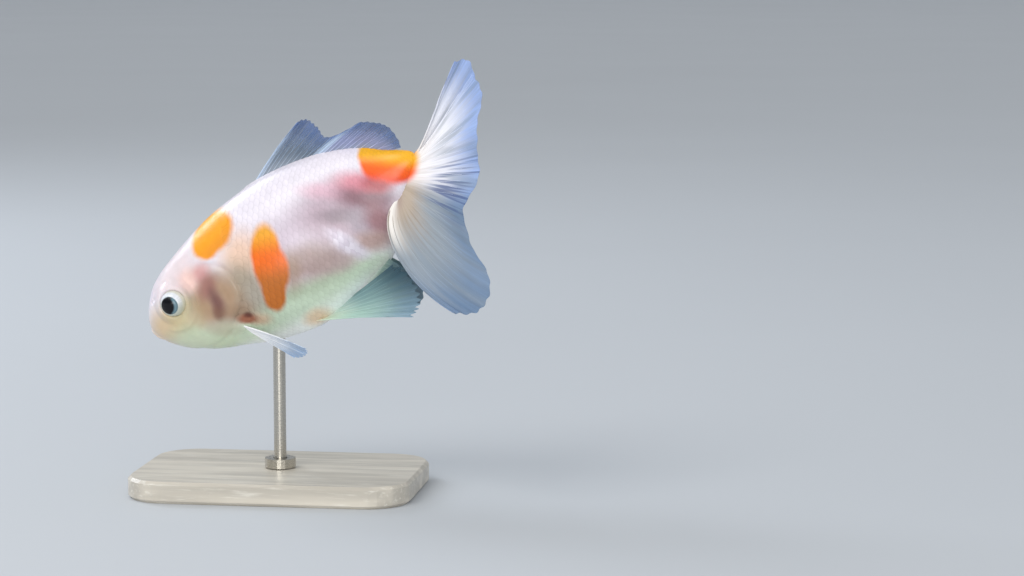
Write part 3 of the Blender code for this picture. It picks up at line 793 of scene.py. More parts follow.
class GOLDFISH_OT_skin(bpy.types.Operator):
    """Makes the one skin that covers the head, jaw, gill covers, trunk and tail stalk."""

    bl_idname = "goldfish.skin"
    bl_label = "Skin"

    def execute(self, context):
        sizes = context.scene.goldfish_sizes
        points, outward = skin_grid(sizes.coat_depth / MM, sizes.eye_opening / MM)
        inner = points[1:-1]
        joined = np.concatenate([points[:1, 0], inner.reshape(-1, 3), points[-1:, 0]])
        ways = np.concatenate([[(-1, 0, 0)], outward[1:-1].reshape(-1, 3), [(1, 0, 0)]])
        skin = new_mesh_object("skin", placed(joined), capped_faces(*inner.shape[:2]))
        store(skin, "outward", turned(ways))
        tidy_mesh(skin)
        skin.data.materials.append(skin_material(context.scene.goldfish_colours))
        finish_piece(
            skin, "skin", "head", "lower_jaw", "gill_cover_left", "gill_cover_right", "trunk", "tail_stalk"
        )
        return {"FINISHED"}


# ---------------------------------------------------------------- scales

ROW_SPACING = ((36, 2.15), (50, 2.35), (65, 2.2), (80, 1.85), (93, 1.4), (104, 1.1))
LATERAL_LINE = ((30, 4.5), (45, 2.5), (65, 2.0), (85, 3.5), (104, 7.0))
SCALES_FROM, SCALES_TO = 30.0, 103.0
ROWS_EACH_WAY = 24  # rows of scales above the lateral line, and below it
COLUMN_SHARE = 0.43  # half the distance between two scales of a row, as a share of the row spacing
EDGE_SHARE = 0.2  # how near the back or belly a scale may be rooted, as a share of the row spacing
LOOK_AHEAD = 0.5  # how far back a row is read again, to find the way that it runs
SCALE_SEEDS = {LEFT: 7, RIGHT: 11}
PATCH = 0.003  # width of a scale on the unwrap
SCALE_SIDES = 12
# A scale's heights over the skin, as shares of the coat's depth: in its middle, on each of its two rings
# (with how far out the ring lies), and how far the whole scale rises from its root to its free edge.
SCALE_CREST, SCALE_TIERS, SCALE_SLOPE = 0.46, ((0.7, 0.45), (1.0, 0.38)), 1.1


def half_section(x, samples=160):
    """One side of the body's cross-section at x, and the way travelled down it from the back."""
    turn = np.linspace(0, math.pi, samples)
    points = section(x, turn)[:, 1:]
    travelled = np.concatenate([[0], np.cumsum(np.linalg.norm(np.diff(points, axis=0), axis=1))])
    return points, travelled


def scale_roots():
    """Where the scales of the right flank are rooted: places, ways towards the tail, sizes and unwrap."""
    places, ways, sizes, unwrap = [], [], [], []
    x, column = SCALES_FROM, 0
    while x < SCALES_TO:
        spacing = float(smooth(ROW_SPACING, x))
        points, travelled = half_section(x)
        ahead, ahead_travelled = half_section(x + LOOK_AHEAD)
        line = np.interp(-float(smooth(LATERAL_LINE, x)), -points[:, 1], travelled)
        ahead_height = float(smooth(LATERAL_LINE, x + LOOK_AHEAD))
        ahead_line = np.interp(-ahead_height, -ahead[:, 1], ahead_travelled)
        stretch = float(smooth(ROW_SPACING, x + LOOK_AHEAD)) / spacing
        for row in range(-ROWS_EACH_WAY, ROWS_EACH_WAY + 1):
            if (row + column) % 2:
                continue
            at = line + row * spacing
            if not EDGE_SHARE * spacing < at < travelled[-1] - EDGE_SHARE * spacing:
                continue
            y, z = (np.interp(at, travelled, points[:, k]) for k in (0, 1))
            if x < smooth(GILL_LINE, z) + 0.5 * spacing + 0.4 or flank(x, z) < 0.3:
                continue
            next_at = ahead_line + row * spacing * stretch
            y1, z1 = (np.interp(next_at, ahead_travelled, ahead[:, k]) for k in (0, 1))
            places.append((x, y, z))
            ways.append((LOOK_AHEAD, y1 - y, z1 - z))
            sizes.append(spacing)
            unwrap.append((0.02 + 0.96 * x / BODY_LENGTH, 0.02 + 0.96 * at / travelled[-1], 0))
        x += spacing * COLUMN_SHARE
        column += 1
    return (np.array(values, float) for values in (places, ways, sizes, unwrap))


def scale_shape():
    """One scale lying along X, root at -X: a closed plate with two rings above and one on the skin."""
    points, heights, faces = [(0, 0)], [SCALE_CREST], []
    for reach, height in SCALE_TIERS:
        for k in range(SCALE_SIDES):
            turn = 2 * math.pi * k / SCALE_SIDES
            points.append((0.5 * reach * math.cos(turn), 0.5 * reach * math.sin(turn)))
            heights.append(height)
    for k in range(SCALE_SIDES):
        points.append(points[1 + SCALE_SIDES + k])
        heights.append(0.0)
    heights = [height + SCALE_SLOPE * x for (x, _), height in zip(points, heights)]
    inner, outer, under = (1 + ring * SCALE_SIDES for ring in range(3))
    for k in range(SCALE_SIDES):
        after = (k + 1) % SCALE_SIDES
        faces.append((0, inner + k, inner + after))
        faces.append((inner + k, outer + k, outer + after, inner + after))
        faces.append((outer + k, under + k, under + after, outer + after))
    faces.append(tuple(under + k for k in reversed(range(SCALE_SIDES))))
    shape = new_mesh_object("scale_shape", [(x, y, 0) for x, y in points], faces)
    store(shape, "height", heights)
    store(shape, "own_place", [(x + 0.5, y + 0.5, 0) for x, y in points])
    return shape


def scale_instances(nodes, given):
    """A scale on each root, of its own size and tone, facing out and lying towards the tail."""
    facing = nodes.add(
        "FunctionNodeAxesToRotation", nodes.named("outward"), nodes.named("lie"), primary_axis="Z",
        secondary_axis="X",
    )
    seed, variation = given.outputs["Seed"], given.outputs["Variation"]
    uneven = nodes.chance(seed, nodes.times(variation, -1.0), variation)
    share = nodes.times(nodes.named("size", "FLOAT"), nodes.plus(uneven, 1.0))
    length, width = (nodes.times(share, given.outputs[name]) for name in ("Length", "Width"))
    scales = nodes.plug(
        nodes.add("GeometryNodeInstanceOnPoints"),
        Points=nodes.keep(given.outputs["Geometry"], "tone", nodes.chance(nodes.plus(seed, 1.0))),
        Instance=nodes.add("GeometryNodeObjectInfo", given.outputs["Scale"]).outputs["Geometry"],
        Rotation=facing,
        Scale=nodes.join(length, width, share),
    )
    return nodes.add("GeometryNodeRealizeInstances", scales)


def laid_on_skin(nodes, given, scales):
    """Draws each point of the scales onto the skin, and lifts it by its own height."""
    skin = nodes.add("GeometryNodeObjectInfo", given.outputs["Skin"]).outputs["Geometry"]
    nearest = nodes.add("GeometryNodeProximity", skin, target_element="FACES").outputs["Position"]
    surface = nodes.add("GeometryNodeSampleNearestSurface", data_type="FLOAT_VECTOR")
    outward = nodes.plug(surface, Mesh=skin, Value=nodes.named("outward")).outputs["Value"]
    rise = nodes.times(nodes.named("height", "FLOAT"), given.outputs["Rise"])
    lifted = nodes.vector("ADD", nearest, nodes.scaled(outward, rise))
    return nodes.plug(nodes.add("GeometryNodeSetPosition"), Geometry=scales, Position=lifted)


def scales_tree():
    """Sets a scale on each root, lays it on the skin and gives it its patch of the unwrap."""
    tree, nodes, given, made = new_group(
        "Scales",
        {
            "Geometry": "Geometry", "Scale": "Object", "Skin": "Object", "Length": 0.006, "Width": 0.006,
            "Rise": 0.0003, "Variation": 0.02, "Patch": PATCH, "Seed": 7, "Finish": "Material",
        },
        {"Geometry": "Geometry"},
        "GeometryNodeTree",
    )
    laid = laid_on_skin(nodes, given, scale_instances(nodes, given))
    corner = nodes.scaled(nodes.named("own_place"), given.outputs["Patch"])
    unwrap = nodes.vector("ADD", nodes.named("unwrap"), corner)
    mapped = nodes.keep(laid, "OFBake", unwrap, "FLOAT2", "CORNER")
    nodes.plug(made, Geometry=nodes.finish(mapped, given.outputs["Finish"]))
    return tree


def scale_material(colours):
    material, nodes, shader = new_material(
        "pearly_scales", 0.34, Specular_IOR_Level=0.32, Coat_Weight=0.25, Coat_Roughness=0.16
    )
    marks, mottle = marked(nodes, colours, 0.07)
    tone = nodes.attribute("tone", "Fac")
    own = nodes.vector("SUBTRACT", nodes.attribute("own_place"), (0.5, 0.5, 0.0))
    from_middle = nodes.measure("LENGTH", own)
    along = nodes.split(own)[0]
    shade = nodes.plus(nodes.times(tone, 0.05), 0.96)
    # Each scale darkens towards its rim: partly the pigment of its edge, partly painted shadow along its
    # edge.
    rim = nodes.rise(from_middle, 0.38, 0.5, 1.0, 0.9)
    crescent = nodes.rise(along, 0.1, 0.4, 0.98, 1.03)
    shade = nodes.grey(nodes.times(shade, rim, crescent))
    # Painted highlights: in the glinting streak some scales are lightened towards white, as if catching the
    # light.
    painted_sparkle = nodes.times(marks.outputs["Glint"], nodes.rise(tone, 0.2, 1.0, 0.0, 0.3))
    colour = nodes.mix(1.0, mottle, shade, "MULTIPLY")
    nodes.plug(
        shader,
        Base_Color=nodes.mix(painted_sparkle, colour, ink("FAF8FF")),
        Metallic=nodes.times(marks.outputs["Glint"], nodes.rise(along, 0.0, 0.35), 0.2),
        Roughness=nodes.rise(mottle.outputs["Grain"], 0.3, 0.7, 0.28, 0.42),
    )
    return material


class GOLDFISH_OT_scales(bpy.types.Operator):
    """Lays overlapping scales over each flank, from the gill line to the tail stalk."""

    bl_idname = "goldfish.scales"
    bl_label = "Scales"

    def execute(self, context):
        sizes = context.scene.goldfish_sizes
        shape, tree = scale_shape(), scales_tree()
        finish = scale_material(context.scene.goldfish_colours)
        places, ways, spacing, unwrap = scale_roots()
        share = spacing / max(spacing)
        for name, side in SIDES.items():
            mirror = np.array([1, side, 1])
            outward = surface_ways(places) * mirror
            scales = new_mesh_object(f"scales_{name}", placed(places * mirror), [])
            store(scales, "lie", turned(ways * mirror))
            store(scales, "outward", turned(outward))
            store(scales, "size", share)
            store(scales, "unwrap", unwrap)
            modifier = scales.modifiers.new("Scales", "NODES")
            modifier.node_group = tree
            set_inputs(
                modifier, scale=shape, skin=bpy.data.objects["skin"], length=sizes.scale_length,
                width=sizes.scale_width, rise=sizes.coat_depth, finish=finish, seed=SCALE_SEEDS[side],
            )
            made_plain(scales)
            tidy_mesh(scales, sharp=50)
            finish_piece(scales, "skin")
        bpy.data.objects.remove(shape)
        return {"FINISHED"}


def surface_ways(places, step=0.2):
    """Level directions straight out from the right flank at those places."""
    x, _, z = places.T
    along = (flank(x + step, z) - flank(x - step, z)) / (2 * step)
    upward = (flank(x, z + step) - flank(x, z - step)) / (2 * step)
    ways = np.stack([-along, np.ones_like(x), -upward], -1)
    return ways / np.linalg.norm(ways, axis=1)[:, None]


# ---------------------------------------------------------------- fins

TAIL_FORK, DORSAL_DIP = 0.43, 0.5  # where across its fin each of them lies
GRID_PER_RAY, GRID_STEPS = 8, 48
PLEAT_HEIGHT = 0.11
WEB_EDGE, WEB_THICKENING, FLESH_REACH = 0.1, 0.17, 0.09
# A ray's stem, its branches and their twigs: (where each starts down the fin, where it ends, points).
RAY_PARTS = ((0, 0.46, 14), (0.42, 0.76, 12), (0.73, 0.985, 9))
BRANCHES_APART, TWIGS_APART = 0.24, 0.11  # as shares of the distance between two rays
BOLD_RAY, BRANCH, TWIG, RAY_TIP = 1.5, 0.75, 0.6, 0.45  # thickness, as a share of a plain ray's
# Each kind of fin, for its web and then its rays: colour at the root, in the middle and at the free edge,
# how solid it is at the root and at the edge, and how many streaks it has and how deep they are. A pair of
# colours lies at the first ray and at the last. Then how much of the root takes the skin's own colours,
# and where across the fin a pair of colours parts.
# The dark blue-greys of the fins, deepest towards their free edges, are partly painted shade, the dimness
# seen through a sheer fin, over the fins' own bluish tint. The pale roots of the pelvic fins are partly
# painted light, lifting them out of the belly's shadow.
FIN_LOOKS = {
    "tail": (
        (("F8F2F0", "B8A896"), ("F4F4FC", "949EA8"), ("A2BAEA", "7089A8"), 0.98, 0.8, 60, 0.5),
        (("F8F2F0", "B8A896"), ("F2F2FC", "A0AAB4"), ("B2C6EE", "7490B6"), 1.0, 0.92, 30, 0.3),
        1.0, (0.38, 0.54),
    ),
    "dorsal": (
        ("A6B0BE", ("5E6E82", "949CC4"), "466498", 0.72, 0.5, 50, 0.7),
        ("BCC6D4", ("8294AA", "B4BAE0"), "7C96C8", 1.0, 0.85, 30, 0.5),
        1.0, (0.4, 0.6),
    ),
    "pelvic": (
        (("DCEAD0", "DCF0E4"), ("AECEC4", "78989C"), ("84A4B8", "345260"), 0.96, 0.76, 30, 0.6),
        (("DCEAD0", "DCF0E4"), ("B4D4C8", "86A6A6"), ("94B0C4", "446474"), 1.0, 0.92, 30, 0.4),
        1.0, (0.1, 0.9),
    ),
    "anal": (
        ("90A89C", "54727A", "5C7888", 0.96, 0.76, 30, 0.5),
        ("9CB4A8", "648288", "6E8A9A", 1.0, 0.88, 30, 0.4),
        0.6, (0.4, 0.6),
    ),
    "pectoral": (
        ("FFFFFF", "E4EAF4", "A4C0E4", 0.98, 0.88, 24, 0.25),
        ("FFFFFF", "FAFCFF", "CCDEF6", 1.0, 0.95, 30, 0.2),
        0.0, (0.4, 0.6),
    ),
}


def fan(root, length, sweep, bend, curl, out_root, out_tip, side, steps):
    """The points of the rays of a fin. Each argument before side has one value or row for a ray."""
    u = (np.arange(steps) + 0.5) / steps
    heading = sweep[:, None] - bend[:, None] * (1 - u) - curl[:, None] * (1 - u) ** CURL_POWER
    heading = np.radians(heading)
    lean = np.radians(out_root[:, None] + (out_tip - out_root)[:, None] * u)
    ways = np.stack(
        [np.cos(lean) * np.cos(heading), side * np.sin(lean), np.cos(lean) * np.sin(heading)], 2
    )
    travelled = np.cumsum(ways, 1) * (length / steps)[:, None, None]
    return np.concatenate([root[:, None], root[:, None] + travelled], 1)


def plain_fan(fin, root, side, share, steps, reach):
    out = smooth(fin["out"], share)
    return fan(
        root, reach * smooth(fin["length"], share), smooth(fin["sweep"], share),
        smooth(fin["bend"], share), 0 * share, out, out, side, steps,
    )


def dorsal_fan(side, share, steps, reach):
    x = DORSAL["base"][0] + (DORSAL["base"][1] - DORSAL["base"][0]) * share
    root = np.stack([x, 0 * x, profile(BACK, x) - FIN_ROOT_DEPTH], 1)
    return plain_fan(DORSAL, root, side, share, steps, reach)


def belly_fan(fin, side, share, steps, reach):
    (x0, y0), (x1, y1) = fin["base"]
    x, y = x0 + (x1 - x0) * share, y0 + (y1 - y0) * share
    root = np.stack([x, side * y, underside(x, y) + FIN_ROOT_DEPTH], 1)
    return plain_fan(fin, root, side, share, steps, reach * fin["reach"][side])


def pectoral_fan(side, share, steps, reach):
    (x0, z0), (x1, z1) = PECTORAL_BASE
    x, z = x0 + (x1 - x0) * share, z0 + (z1 - z0) * share
    root = np.stack([x, side * (flank(x, z) - FIN_ROOT_DEPTH), z], 1)
    fin = {**PECTORAL[side], "length": PECTORAL_LENGTH}
    return plain_fan(fin, root, side, share, steps, reach)


def tail_fan(side, share, steps, reach):
    """The rays of one half of the tail, rippled towards its free edge."""
    place = smooth(TAIL["root"], share)
    (x0, z0), (x1, z1) = TAIL_ROOT
    out = TAIL_ROOT_OUT[0] + (TAIL_ROOT_OUT[1] - TAIL_ROOT_OUT[0]) * place
    root = np.stack([x0 + (x1 - x0) * place, side * out, z0 + (z1 - z0) * place], 1)
    points = fan(
        root, reach * smooth(TAIL_LENGTH[side], share), smooth(TAIL_SWEEP[side], share),
        *(smooth(TAIL[name], share) for name in ("bend", "curl", "out_root", "out_tip")), side, steps,
    )
    free = (np.arange(steps + 1) / steps) ** 2
    points[:, :, 1] += side * RIPPLE_HEIGHT * np.outer(np.sin(2 * math.pi * RIPPLES * share), free)
    return points


def read_grid(grid, across, down):
    """Points of a grid at shares across and down it, between its own points."""
    rows, steps = grid.shape[:2]
    i, j = np.clip(across, 0, 1) * (rows - 1), np.clip(down, 0, 1) * (steps - 1)
    a, b = np.minimum(i.astype(int), rows - 2), np.minimum(j.astype(int), steps - 2)
    s, t = (i - a)[:, None], (j - b)[:, None]
    near = grid[a, b] * (1 - t) + grid[a, b + 1] * t
    far = grid[a + 1, b] * (1 - t) + grid[a + 1, b + 1] * t
    return near * (1 - s) + far * s


def ray_lines(count, bold):
    """(shares across, shares down, thickness) of each ray, which splits once and then again."""
    edge = 0.2 / count  # the outermost rays lie this far in from the fin's own edges
    spacing = (1 - 2 * edge) / (count - 1)
    stem, branch, twig = (np.linspace(*part) for part in RAY_PARTS)
    branched, twigged = ease(branch, branch[0], 0.7), ease(twig, twig[0], 0.95)
    for k in range(count):
        middle, weight = edge + k * spacing, BOLD_RAY if k in bold else 1.0
        yield 0 * stem + middle, stem, weight
        for first in (-BRANCHES_APART, BRANCHES_APART):
            yield middle + first * spacing * branched, branch, BRANCH * weight
            for second in (-TWIGS_APART, TWIGS_APART):
                yield middle + spacing * (first + second * twigged), twig, TWIG * weight


def fin_mesh(name, grid, places, rays, bold, ray_radius, flare):
    """A thin closed web over a grid of points, with the lines of its rays as loose edges."""
    rows, steps = grid.shape[:2]
    down = places[..., 1]
    thickness = WEB_EDGE + WEB_THICKENING * (1 - down) + flare * hump(down, FLESH_REACH)
    offset = normals_of(grid) * thickness[..., None] / 2
    points = [*(grid + offset).reshape(-1, 3), *(grid - offset).reshape(-1, 3)]
    count = rows * steps
    faces = grid_faces(rows, steps) + grid_faces(rows, steps, count, turned_over=True)
    around = [(0, s) for s in range(steps)] + [(r, steps - 1) for r in range(1, rows)]
    around += [(rows - 1, s) for s in range(steps - 2, -1, -1)] + [(r, 0) for r in range(rows - 2, 0, -1)]
    around = [r * steps + s for r, s in around]
    faces += [(a, b, b + count, a + count) for a, b in zip(around, around[1:] + around[:1])]
    own_places = [*places.reshape(-1, 3), *places.reshape(-1, 3)]
    radii, edges = [0.0] * (2 * count), []
    for across, along, thick in ray_lines(rays, bold):
        first = len(points)
        points += list(read_grid(grid, across, along))
        own_places += [(a, d, 1) for a, d in zip(across, along)]
        radii += list(ray_radius * thick * (RAY_TIP + (1 - RAY_TIP) * (1 - along)))
        edges += [(i, i + 1) for i in range(first, len(points) - 1)]
    obj = new_mesh_object(name, placed(points), faces, edges)
    store(obj, "fin_place", own_places)
    store(obj, "ray_radius", np.array(radii) * MM)
    return obj


def rays_tree():
    """Turns the loose lines of a fin into round rays and joins them to its web."""
    tree, nodes, given, made = new_group(
        "Fin rays",
        {"Geometry": "Geometry", "Sides": 6, "Web": "Material", "Ray": "Material"},
        {"Geometry": "Geometry"},
        "GeometryNodeTree",
    )
    radius = nodes.named("ray_radius", "FLOAT")
    on_ray = nodes.add("FunctionNodeCompare", data_type="FLOAT", operation="GREATER_THAN")
    nodes.feed(on_ray.inputs[0], radius)
    line = nodes.add("GeometryNodeMeshToCurve", given.outputs["Geometry"], on_ray)
    ring = nodes.add("GeometryNodeCurvePrimitiveCircle", given.outputs["Sides"])
    nodes.plug(ring, Radius=1.0)
    rays = nodes.add("GeometryNodeCurveToMesh", line, ring, radius, True)
    web = nodes.add("GeometryNodeDeleteGeometry", given.outputs["Geometry"], on_ray, domain="POINT")
    both = nodes.add("GeometryNodeJoinGeometry", nodes.finish(web, given.outputs["Web"]))
    tree.links.new(nodes.finish(rays, given.outputs["Ray"]).outputs[0], both.inputs[0])
    nodes.plug(made, Geometry=nodes.add("GeometryNodeRealizeInstances", both))
    return tree


def fin_tint_group():
    """Colour and solidity of a fin from its root to its free edge, streaked along its rays."""
    tree, nodes, given, made = new_group(
        "Fin tint",
        {
            "Root": WHITE, "Middle": WHITE, "Edge": WHITE, "Streaks": 40.0, "Depth": 0.4, "Solid": 0.95,
            "Sheer": 0.5, "Flesh": 1.0,
        },
        {"Color": "Color", "Alpha": "Float", "Streak": "Float"},
    )
    across, down, _ = nodes.split(nodes.attribute("fin_place"))
    stretched = nodes.join(nodes.times(across, given.outputs["Streaks"]), nodes.times(down, 1.6), 0.0)
    streak = nodes.noise(stretched, 1.0, 3.0, 0.6)
    swing = nodes.minus(streak, 0.5)
    uneven = nodes.plus(down, nodes.times(swing, 0.35))
    colour = nodes.mix(nodes.rise(uneven, 0.05, 0.5), given.outputs["Root"], given.outputs["Middle"])
    colour = nodes.mix(nodes.rise(uneven, 0.45, 1.0), colour, given.outputs["Edge"])
    swing = nodes.times(swing, given.outputs["Depth"])
    shade = nodes.grey(nodes.plus(swing, 1.0))
    marks = nodes.group(shared("Markings", markings_group), Ground=given.outputs["Root"])
    flesh = nodes.times(nodes.rise(down, 0.06, 0.22, 1.0, 0.0), given.outputs["Flesh"])
    colour = nodes.mix(flesh, nodes.mix(1.0, colour, shade, "MULTIPLY"), marks)
    solid = nodes.rise(uneven, 0.25, 0.95, 0.0, 1.0)
    alpha = nodes.add("ShaderNodeMapRange", solid, 0.0, 1.0, given.outputs["Solid"], given.outputs["Sheer"])
    alpha = nodes.plus(alpha, nodes.times(swing, 0.6), clamp=True)
    nodes.plug(made, Color=colour, Alpha=alpha, Streak=streak)
    return tree


def fin_material(name, look, flesh, parting):
    root, middle, edge, solid, sheer, streaks, depth = look
    material, nodes, shader = new_material(
        name, 0.42, Specular_IOR_Level=0.35, Coat_Weight=0.08, Coat_Roughness=0.3
    )
    later = nodes.rise(nodes.split(nodes.attribute("fin_place"))[0], *parting)

    def tinted(codes):
        return ink(codes) if isinstance(codes, str) else nodes.mix(later, *map(ink, codes))

    tint = nodes.group(
        shared("Fin tint", fin_tint_group), Root=tinted(root), Middle=tinted(middle), Edge=tinted(edge),
        Streaks=streaks, Depth=depth, Solid=solid, Sheer=sheer, Flesh=flesh,
    )
    colour = tint.outputs["Color"]
    if name == "tail_web":
        colour = painted_tail_light_and_shade(nodes, colour)
    if name.startswith("dorsal"):
        colour = painted_dorsal_highlights(nodes, colour)
    nodes.plug(shader, Base_Color=colour, Alpha=tint.outputs["Alpha"])
    nodes.bump(shader, tint.outputs["Streak"], 0.5, 0.15)
    return material


def painted_tail_light_and_shade(nodes, colour):
    """Painted shade in the folds of the tail, dark at its fork and soft elsewhere, and the white leading edge
    of its lower lobe, partly painted highlight.
    """
    across, down, _ = nodes.split(nodes.attribute("fin_place"))
    # Painted shade in the creases near the fork.
    near_fork = nodes.rise(nodes.away(across, TAIL_FORK), 0.04, 0.2, 1.0, 0.0)
    stretched = nodes.join(nodes.times(across, 70.0), down, 4.0)
    painted_crease_shade = nodes.rise(nodes.noise(stretched, 1.0, 1.5, 0.5), 0.5, 0.62)
    painted_crease_shade = nodes.times(painted_crease_shade, near_fork, nodes.rise(down, 0.25, 0.55, 0.0, 0.75))
    colour = nodes.mix(painted_crease_shade, colour, ink("4A5F92"))
    # Broad soft streaks of painted shade along the folds of the outer tail.
    stretched = nodes.join(nodes.times(across, 16.0), nodes.times(down, 1.2), 9.0)
    painted_fold_shade = nodes.rise(nodes.noise(stretched, 1.0, 1.0, 0.5), 0.48, 0.64)
    painted_fold_shade = nodes.times(painted_fold_shade, nodes.rise(down, 0.15, 0.6, 0.0, 0.45))
    colour = nodes.mix(painted_fold_shade, colour, ink("7E8E9E"))
    # The white leading edge of the lower lobe's bulge: partly the fin's own white, partly painted highlight
    # where it faces the light.
    flesh = nodes.times(nodes.rise(across, 0.84, 0.97), nodes.rise(down, 0.5, 0.2))
    return nodes.mix(flesh, colour, ink("FBF6F0"))


def painted_dorsal_highlights(nodes, colour):
    """Painted highlights on the dorsal fin: along its leading edge, over the leading ray's own pale tint, and
    on the ridge behind its dip.
    """
    across, down, _ = nodes.split(nodes.attribute("fin_place"))
    lead = nodes.rise(across, 0.0, 0.09, 0.75, 0.0)
    # The ridge behind the dip is lighter where it catches the light: painted highlight.
    ridge = nodes.rise(nodes.away(across, DORSAL_DIP), 0.02, 0.07, 0.7, 0.0)
    painted_highlight = nodes.times(nodes.math("MAXIMUM", lead, ridge), nodes.rise(down, 1.0, 0.7))
    return nodes.mix(painted_highlight, colour, ink("C6DAF2"))


def fin_looks():
    """The web and ray materials of each kind of fin."""
    looks = {}
    for kind, (web, rays, *rest) in FIN_LOOKS.items():
        looks[kind] = fin_material(f"{kind}_web", web, *rest), fin_material(f"{kind}_rays", rays, *rest)
    return looks


def scalloped(share, rays, depth):
    """How far each place across a fin reaches: fully at a ray and less between two."""
    return 1 - depth * (0.5 - 0.5 * np.cos(2 * math.pi * (share * (rays - 1))))


# Each kind of paired fin: its fan, its number of rays, the bold ones, the flesh at its root, its scallop.
PAIRED_FINS = (
    ("pelvic", partial(belly_fan, PELVIC), 11, (0,), 1.6, 0.04),
    ("anal", partial(belly_fan, ANAL), 7, (0,), 1.0, 0.02),
    ("pectoral", pectoral_fan, 13, (0, 6), 1.4, 0.03),
    ("tail", tail_fan, 20, (0, 19), 1.6, 0.014),
)


def fin_list():
    """Each fin: name, kind, its solids, side, fan, rays, bold rays, flesh at the root and scallop."""
    yield "dorsal_web", "dorsal", ("dorsal_fin",), RIGHT, dorsal_fan, 21, (0, 9, 10), 0.9, 0.02
    for name, side in SIDES.items():
        for kind, *rest in PAIRED_FINS:
            parts = ("tail_upper", "tail_lower") if kind == "tail" else (f"{kind}_fin",)
            yield f"{kind}_web_{name}", kind, [f"{part}_{name}" for part in parts], side, *rest


class GOLDFISH_OT_fins(bpy.types.Operator):
    """Makes each fin as a thin web on branching rays."""

    bl_idname = "goldfish.fins"
    bl_label = "Fins"

    def execute(self, context):
        sizes = context.scene.goldfish_sizes
        looks, tree = fin_looks(), rays_tree()
        for name, kind, solids, side, fan_of, rays, bold, flesh, scallop in fin_list():
            share = np.linspace(0, 1, GRID_PER_RAY * (rays - 1) + 1)
            grid = fan_of(side, share, GRID_STEPS, scalloped(share, rays, scallop))
            down = np.broadcast_to(np.arange(GRID_STEPS + 1) / GRID_STEPS, grid.shape[:2])
            pleat = PLEAT_HEIGHT * (0.3 + 0.7 * down) * np.cos(math.pi * share * (rays - 1))[:, None]
            grid = grid + normals_of(grid) * pleat[..., None]
            places = np.stack([np.broadcast_to(share[:, None], down.shape), down, 0 * down], -1)
            fin = fin_mesh(name, grid, places, rays, bold, sizes.ray_radius / MM, flesh)
            modifier = fin.modifiers.new("Rays", "NODES")
            modifier.node_group = tree
            web, ray = looks[kind]
            set_inputs(modifier, sides=sizes.ray_sides, web=web, ray=ray)
            made_plain(fin)
            tidy_mesh(fin, sharp=60)
            finish_piece(fin, "fin", *solids)
        return {"FINISHED"}


# ---------------------------------------------------------------- eyes

GAZE = (-0.2, 1.0, -0.16)  # the right eye's, in the room and not in the level fish
EYE_TURNS, EYE_RINGS = 72, 72
PUPIL_RADIUS = 2.9
# Straight up and straight back in the room, as (tailwards, upwards, outwards) of the level eye; they place
# the iris's painted light and the pupil's painted reflection.
UP_IN_EYE = (math.sin(PITCH), math.cos(PITCH), 0)
REAR_IN_EYE = (math.cos(PITCH), -math.sin(PITCH), 0)


def eye_profile():
    """The ball's outline from the middle of the pupil to the back: (distance from the axis, height)."""
    turn = math.pi * (np.arange(EYE_RINGS + 1) / EYE_RINGS) ** 1.5
    reach = np.where(turn > math.pi / 2, 2 * EYE_RADIUS, EYE_RADIUS * np.sin(turn))  # plain at the back
    lift = 0.2 * (1 - ease(reach, PUPIL_RADIUS - 0.35, PUPIL_RADIUS - 0.02))
    lift += 0.08 * hump(reach - 3.35, 0.35) - 0.09 * hump(reach - PUPIL_RADIUS - 0.03, 0.09)
    lift -= 0.08 * hump(reach - 4.05, 0.13)
    return [((EYE_RADIUS + up) * math.sin(t), (EYE_RADIUS + up) * math.cos(t)) for t, up in zip(turn, lift)]


def turned_shape(name, outline, middle, axis):
    """A closed shape turned round an axis. The outline's first and last points lie on that axis."""
    ahead = Vector(axis).normalized()
    tailwards = (Vector((1, 0, 0)) - ahead * ahead.x).normalized()
    upwards = ahead.cross(tailwards) * math.copysign(1, -ahead.y)
    facing = Matrix((tailwards, upwards, ahead)).transposed()
    points, own_places = [], []
    for k, (reach, height) in enumerate(outline):
        ring = 1 if k in (0, len(outline) - 1) else EYE_TURNS
        for step in range(ring):
            turn = 2 * math.pi * step / EYE_TURNS
            own = Vector((reach * math.cos(turn), reach * math.sin(turn), height))
            points.append(Vector(middle) + facing @ own)
            own_places.append((own.x / EYE_RADIUS, own.y / EYE_RADIUS, height / EYE_RADIUS))
    faces = capped_faces(len(outline) - 2, EYE_TURNS)
    obj = new_mesh_object(name, placed([tuple(p) for p in points]), faces)
    store(obj, "eye_place", own_places)
    tidy_mesh(obj, sharp=50)
    return obj


